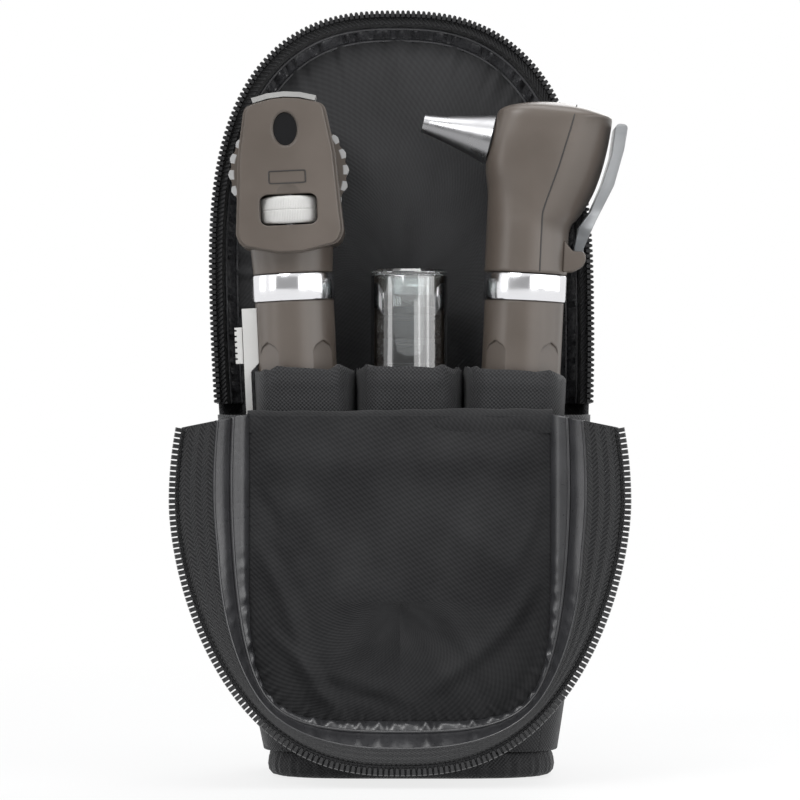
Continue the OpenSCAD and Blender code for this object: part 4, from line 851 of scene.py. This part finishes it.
flap_gusset()
flap_cover()
flap_cloth()
fold_fabric()
LOWER = np.clip((np.sin(np.pi * FLAP_S) - 0.45) / 0.4, 0, 1)
GATHER = ripple(np.linspace(0, 235, FLAP_COUNT), ((4.4, 0.3), (6.3, 0.3), (3.1, 0.1)), 4) * LOWER
flap_strip("flap_binding_inner", 0.0, 0.27, WALL + 0.3, 0.5, 0.8, 13, BINDING, "glossy_binding", "flap_binding",
           GATHER)
LOW_SHIFT = 0.14 * LOWER
flap_strip("flap_binding_outer", 0.29, 0.52 + LOW_SHIFT, WALL + 0.3, 0.4, 0.55, 13, BINDING, "glossy_binding", None, GATHER * 0.5)
flap_piping("flap_piping_inner", 0.28, WALL + 0.9, 0.45)
flap_piping("flap_piping_outer", 0.53 + LOW_SHIFT, WALL + 0.75, 0.42)
flap_strip("flap_tape", 0.54 + LOW_SHIFT, 1.0, WALL + 0.3, 0.5, 0.05, 9, TAPE, "zip_tape", "flap_zip_tape")
teeth("flap_teeth", resample(ZIP_LINE, 900), FLAP_FRONT_Y - 1.6, 1.9, 1.6, 1.25, "flap_zip_teeth", 1.35)


# The instruments' small pieces

def knurled_wheel(ribs=110):
    """The thumbwheel: radius = a barrel's profile, less a groove at its middle, less a cosine for each fine rib."""
    a = np.linspace(0, 2 * np.pi, ribs * 4, endpoint=False)[None]
    k = np.linspace(-1, 1, 45)[:, None]
    rib = 0.07 * (1 - np.cos(ribs * a)) * np.clip((0.97 - np.abs(k)) / 0.05, 0, 1)
    r = WHEEL_R - 0.15 * k ** 2 - 0.8 * np.abs(k) ** 14 - 0.16 * np.exp(-(k / 0.035) ** 2) - rib
    bore = np.full((1, a.shape[1]), PIN_R + 0.05)
    r = np.concatenate([bore, r, bore])
    z = WHEEL_Z + WHEEL_H / 2 * np.r_[-1, k[:, 0], 1][:, None]
    y = FACE_Y + WHEEL_R - 1.1
    points = np.stack([r * np.cos(a), y + r * np.sin(a), z + 0 * a], -1)
    return piece("knurled_wheel", leaning(points, LEFT_AT, LEFT_LEAN), WHITE, "wheel", "white_plastic",
                 close_u=True, close_v=True, replaces=["thumbwheel"], sharp=40)


def readout_line():
    """The thin printed line round the readout: a squarish closed curve of power 12."""
    t = np.linspace(0, 2 * np.pi, 401)
    x, z = READOUT_W / 2 * signed_power(np.cos(t), 1 / 6), READOUT_H / 2 * signed_power(np.sin(t), 1 / 6)
    line = resample(np.stack([x, np.full_like(t, FACE_Y - 0.02), READOUT_Z + z], 1), 161)[:-1]
    return piece("readout_line", leaning(tube_along(line, 0.13, 6), LEFT_AT, LEFT_LEAN), INK, "ophthalmoscope",
                 "dark_plastic", close_u=True, close_v=True)


def readout_plate():
    """The readout's cover, level with the face: rings of the same squarish curve, drawn in at its front and back."""
    t = np.linspace(0, 2 * np.pi, 161)[:-1]
    x, z = READOUT_W / 2 * signed_power(np.cos(t), 1 / 6), READOUT_H / 2 * signed_power(np.sin(t), 1 / 6)
    rings = [(0.9, 0.06), (0.97, 0.06), (0.98, 0.2), (0.98, 1.2)]
    points = np.stack([np.stack([x * k, np.full_like(x, FACE_Y + d), READOUT_Z + z * k], -1) for k, d in rings])
    return piece("readout_plate", leaning(points, LEFT_AT, LEFT_LEAN), MOCHA, "ophthalmoscope", "dark_glass",
                 close_v=True, cap=True, replaces=["readout_window"], sharp=30)


def aperture_bevel():
    """A narrow sloped lip inside the sight: an oval ring that narrows as it goes in."""
    t = np.linspace(0, 2 * np.pi, 97)[:-1, None]
    less, deep = np.array([[0.02, 0.2, 0.34, 0.02]]), np.array([[0.02, 0.16, 0.62, 0.62]])
    x, z = (APERTURE_W / 2 - less) * np.cos(t), (APERTURE_H / 2 - less) * np.sin(t)
    points = np.stack([x, FACE_Y + deep + 0 * t, SIGHT_Z + z], -1)
    return piece("aperture_bevel", leaning(points, LEFT_AT, LEFT_LEAN), MOCHA, "ophthalmoscope", "mocha_plastic",
                 close_u=True, close_v=True, sharp=30)


def revolved(name, profile, at, lean, *dressing, **more):
    """A closed profile of (radius, height) turned round its own axis in 192 steps."""
    a = np.linspace(0, 2 * np.pi, 192, endpoint=False)[:, None]
    r, z = np.array(profile, float).T[:, None]
    points = np.stack([r * np.cos(a), r * np.sin(a), z + 0 * a], -1)
    return piece(name, leaning(points, at, lean), *dressing, close_u=True, close_v=True, sharp=35, **more)


RING_PROFILE = ((8.6, 107.9), (9.5, 107.9), (9.78, 108.0), (9.9, 108.25), (9.9, 113.9), (9.78, 114.2), (9.5, 114.3),
                (8.6, 114.3))
TUBE_AT = np.array([2.2, AXIS_Y, 0.0])
TUBE_PROFILE = ((0.02, 3.1), (8.2, 3.1), (8.9, 3.4), (9.2, 4.1), (9.2, 118.1), (9.1, 118.35), (8.7, 118.4),
                (8.3, 118.3), (8.2, 118.0), (8.2, 5.2), (7.8, 4.6), (0.02, 4.5))
CAP_PROFILE = ((0.02, 117.4), (6.8, 117.4), (6.8, 113.6), (7.8, 113.5), (8.1, 113.8), (8.1, 118.55), (9.15, 118.6),
               (9.25, 118.8), (9.2, 119.3), (8.6, 119.9), (6.2, 120.3), (0.02, 120.4))


def rings_and_tube():
    """The two chromed rings, the clear tube and its cap, each turned smooth."""
    revolved("ophtho_chrome", RING_PROFILE, LEFT_AT, LEFT_LEAN, CHROME, "ophthalmoscope", "ring_chrome",
             replaces=["ophtho_ring"])
    revolved("oto_chrome", RING_PROFILE, RIGHT_AT, RIGHT_LEAN, CHROME, "otoscope", "ring_chrome",
             replaces=["oto_ring"])
    revolved("clear_tube", TUBE_PROFILE, TUBE_AT, 0.0, ACRYLIC, "specula_tube", "clear_acrylic", replaces=["tube"])
    revolved("tube_stopper", CAP_PROFILE, TUBE_AT, 0.0, FROSTED, "stopper", "frosted_cap", replaces=["tube_cap"])


HEAD_FOOT = 114.55
HEAD_KEYS = np.array([
    # left x, left z, right x, right z, half depth, power to the left, power to the right
    [-9.8, 0, 9.8, 0, 9.85, 2, 2], [-9.8, 6, 9.8, 6, 9.85, 2, 2], [-9.8, 11.4, 9.85, 11.4, 9.9, 2, 2],
    [-9.8, 14, 12.3, 14, 9.95, 2.1, 2.1], [-9.85, 19.5, 15.3, 19.5, 10.1, 2.6, 2.2],
    [-10.9, 25.1, 17.1, 25.4, 10.3, 4, 2.4], [-9.7, 31.4, 18.3, 31.6, 10.4, 5, 2.6],
    [-8.7, 36.4, 18.85, 36.6, 10.3, 5, 3], [-8.4, 38.2, 18.75, 37.6, 10.1, 5, 4],
    [-6.6, 39.3, 17.6, 38.2, 9.6, 5, 4], [-3.9, 40.05, 14.8, 39.1, 8.6, 4, 4],
    [0, 40.7, 11.9, 40.0, 5.8, 3, 3], [2.9, 40.9, 9.4, 40.55, 3, 2, 2], [5.4, 40.95, 6.6, 40.9, 0.5, 2, 2]])


def head_point(count, around):
    """The head's skin: slanted sections between its two outlines, an ellipse at the neck, squarer at the face."""
    step = np.linspace(0, len(HEAD_KEYS) - 1, count)
    keys = np.stack([np.interp(step, np.arange(len(HEAD_KEYS)), column) for column in HEAD_KEYS.T], 1)
    near = np.concatenate([2 * keys[0] - keys[4:0:-1], keys, 2 * keys[-1] - keys[-2:-6:-1]])
    keys = np.mean([near[k:k + count] for k in range(9)], 0)
    lx, lz, rx, rz, deep, pl, pr = (k[:, None] for k in keys.T)
    t = np.linspace(0, 2 * np.pi, around, endpoint=False)[None]
    power = np.where(np.cos(t) < 0, pl, pr)
    k = signed_power(np.cos(t), 2 / power)
    x = (lx + rx) / 2 + (rx - lx) / 2 * k
    z = HEAD_FOOT + (lz + rz) / 2 + (rz - lz) / 2 * k
    return np.stack([x, deep * signed_power(np.sin(t), 2 / (1.2 + power * 0.4)), z], -1)


def otoscope_head():
    """The otoscope's smooth head in one closed skin."""
    return piece("otoscope_head", leaning(head_point(131, 160), RIGHT_AT, RIGHT_LEAN), MOCHA, "otoscope",
                 "mocha_plastic", close_v=True, cap=True, replaces=["oto_front_shell", "oto_rear_shell"])


SEAM = HEAD_FOOT + np.array([40.3, 34.6, 25.1, 17.1, 14.2, 0.1]), np.array([10.1, 8.8, 6.3, 3.8, 3, 3])


def head_seam(name, side):
    """The dark line where the head's halves meet: its height and breadth are read off the head's skin."""
    line = resample(np.stack([SEAM[1], SEAM[0]], 1), 141)
    near = np.concatenate([[line[0]] * 3, line, [line[-1]] * 3])
    line = np.mean([near[k:k + 141] for k in range(7)], 0)
    skin = head_point(201, 400)[:, 1:200].reshape(-1, 3)
    far = np.linalg.norm(line[:, None] - skin[None, :, [0, 2]], axis=-1)
    y = skin[far.argmin(1), 1]
    near = np.concatenate([[y[0]] * 4, y, [y[-1]] * 4])
    y = np.mean([near[k:k + 141] for k in range(9)], 0)
    path = np.stack([line[:, 0], side * (y - 0.02), line[:, 1]], 1)
    return piece(name, leaning(tube_along(path, 0.19, 8), RIGHT_AT, RIGHT_LEAN), INK, "otoscope", "dark_plastic",
                 close_v=True, cap=True)


HOOK = np.array([[8.6, 0.5], [11.4, 0.9], [13.3, 2.0], [14.0, 3.6], [13.8, 5.2], [13.0, 5.7], [12.2, 5.6],
                 [10.8, 5.6], [9.9, 6.6], [8.6, 8.2]])


def hook_ear(name, side):
    """One ear of the magnifier's hook: its outline, drawn in a little at both faces."""
    closed = np.concatenate([HOOK, HOOK[:1]])
    line = resample(closed, 61)[:-1]
    line = np.mean([np.roll(line, k, 0) for k in (-1, 0, 1)], 0)
    mid = line.mean(0)
    rows = [(0.95, 3.2), (1.0, 3.4), (1.0, 4.75), (0.95, 5.0)]
    points = np.stack([np.stack([x, np.full_like(x, side * y), HEAD_FOOT + z], -1)
                       for y, (x, z) in ((y, (mid + k * (line - mid)).T) for k, y in rows)])
    return piece(name, leaning(points, RIGHT_AT, RIGHT_LEAN), MOCHA, "otoscope", "mocha_plastic",
                 close_v=True, cap=True, sharp=40)


rings_and_tube()
otoscope_head()
head_seam("head_seam_front", -1)
head_seam("head_seam_rear", 1)
hook_ear("hook_ear_front", -1)
hook_ear("hook_ear_rear", 1)
knurled_wheel()
readout_line()
readout_plate()
aperture_bevel()


# Camera, floor and light

def point_light(name, place, aim, size, power, colour=(1, 1, 1)):
    """A square soft lamp that faces a point."""
    lamp = bpy.data.lights.new(name, "AREA")
    lamp.shape, lamp.size, lamp.energy, lamp.color = "SQUARE", size, power, colour
    obj = bpy.data.objects.new(name, lamp)
    obj.location = place
    obj.rotation_euler = (Vector(aim) - Vector(place)).to_track_quat("-Z", "Y").to_euler()
    bpy.context.scene.collection.objects.link(obj)
    return obj


def seen(tree, share):
    """A share for camera, glossy and transmission rays, and 0 for the rays that light things."""
    path = tree.nodes.new("ShaderNodeLightPath")
    total = path.outputs["Is Camera Ray"]
    for kind in ("Is Glossy Ray", "Is Transmission Ray"):
        add = tree.nodes.new("ShaderNodeMath")
        add.operation = "MAXIMUM"
        tree.links.new(total, add.inputs[0])
        tree.links.new(path.outputs[kind], add.inputs[1])
        total = add.outputs[0]
    scale = tree.nodes.new("ShaderNodeMath")
    scale.operation = "MULTIPLY"
    tree.links.new(total, scale.inputs[0])
    if isinstance(share, bpy.types.NodeSocket):
        tree.links.new(share, scale.inputs[1])
    else:
        scale.inputs[1].default_value = share
    return scale.outputs[0]


def white_world():
    """A pale world that lights the object, and plain white where it is seen."""
    world = bpy.data.worlds.new("studio")
    bpy.context.scene.world = world
    world.use_nodes = True
    tree = world.node_tree
    plain = tree.nodes["Background"]
    plain.inputs["Color"].default_value = (0.9, 0.95, 1.0, 1)
    plain.inputs["Strength"].default_value = 0.3
    white = tree.nodes.new("ShaderNodeBackground")
    white.inputs["Color"].default_value = (1, 1, 1, 1)
    mix = tree.nodes.new("ShaderNodeMixShader")
    tree.links.new(seen(tree, 1.0), mix.inputs[0])
    tree.links.new(plain.outputs[0], mix.inputs[1])
    tree.links.new(white.outputs[0], mix.inputs[2])
    tree.links.new(mix.outputs[0], tree.nodes["World Output"].inputs["Surface"])


def pale_floor():
    """A pale floor whose seen colour goes to plain white with its distance from the object."""
    mesh = bpy.data.meshes.new("floor")
    mesh.from_pydata([(-4, -4, 0), (4, -4, 0), (4, 4, 0), (-4, 4, 0)], [], [(0, 1, 2, 3)])
    floor = bpy.data.objects.new("floor", mesh)
    bpy.context.scene.collection.objects.link(floor)
    mat = material("pale_floor", (0.86, 0.86, 0.86), 0.6)
    n = Nodes(mat)
    x, y, _ = n.split(n.place("Object"))
    away = n.math("SQRT", n.math("ADD", n.math("MULTIPLY", x, x), n.math("MULTIPLY", y, y)))
    glow = n.add("ShaderNodeEmission")
    mix = n.add("ShaderNodeMixShader")
    n.put(mix.inputs[0], seen(n.tree, n.ramp(away, 0.1, 0.42, 0.8, 1.0)))
    n.put(mix.inputs[1], n.shader.outputs[0])
    n.put(mix.inputs[2], glow.outputs[0])
    n.put(n.tree.nodes["Material Output"].inputs["Surface"], mix.outputs[0])
    mesh.materials.append(mat)


def card(name, start, end, grey):
    """A tall card in front of the object, between two azimuths, that only polished surfaces see."""
    a = np.radians(np.linspace(start, end, 7))
    x, y = 1.3 * np.sin(a), -1.3 * np.cos(a)
    foot, head = np.stack([x, y, 0 * a + 0.01], 1), np.stack([x, y, 0 * a + 0.6], 1)
    mesh = bpy.data.meshes.new(name)
    faces = [(i, i + 1, i + 8, i + 7) for i in range(6)]
    mesh.from_pydata(np.concatenate([foot, head]), [], faces)
    mat = bpy.data.materials.new(name)
    mat.use_nodes = True
    tree = mat.node_tree
    glow = tree.nodes.new("ShaderNodeEmission")
    glow.inputs["Color"].default_value = (grey, grey, grey, 1)
    tree.links.new(glow.outputs[0], tree.nodes["Material Output"].inputs["Surface"])
    mesh.materials.append(mat)
    obj = bpy.data.objects.new(name, mesh)
    bpy.context.scene.collection.objects.link(obj)
    obj.visible_camera = obj.visible_diffuse = obj.visible_shadow = obj.visible_transmission = False


CARDS = (("strip_far", -104, -84, 2.6), ("strip_left", -68, -53, 3.4), ("card_front", -48, 13, 0.4),
         ("strip_front", 15, 32, 2.8), ("card_right", 36, 52, 0.3), ("strip_right", 55, 108, 2.6))


def studio():
    """A pale floor, a white backdrop, soft lamps and the cards that polished metal mirrors."""
    bpy.context.scene.view_settings.view_transform = "Standard"
    white_world()
    pale_floor()
    for name, start, end, grey in CARDS:
        card(name, start, end, grey)
    point_light("key", (-0.45, -0.75, 0.75), (0, 0, 0.09), 0.5, 5.6)
    point_light("fill", (0.7, -0.7, 0.35), (0, 0, 0.09), 0.6, 2.8)
    point_light("top", (0.05, -0.1, 0.9), (0, 0, 0.1), 0.5, 3.0)
    point_light("back", (0.3, 0.7, 0.5), (0, 0, 0.09), 0.5, 2.6)


def camera():
    """The photograph's view: level, 946 mm in front of the case."""
    data = bpy.data.cameras.new("view")
    data.sensor_width, data.lens = 36, 178.1
    data.clip_start, data.clip_end = 0.01, 20
    obj = bpy.data.objects.new("view", data)
    obj.location = (0, -0.946, 0.0889)
    obj.rotation_euler = (math.pi / 2, 0, 0)
    bpy.context.scene.collection.objects.link(obj)
    bpy.context.scene.camera = obj


studio()
camera()
bpy.context.view_layer.update()
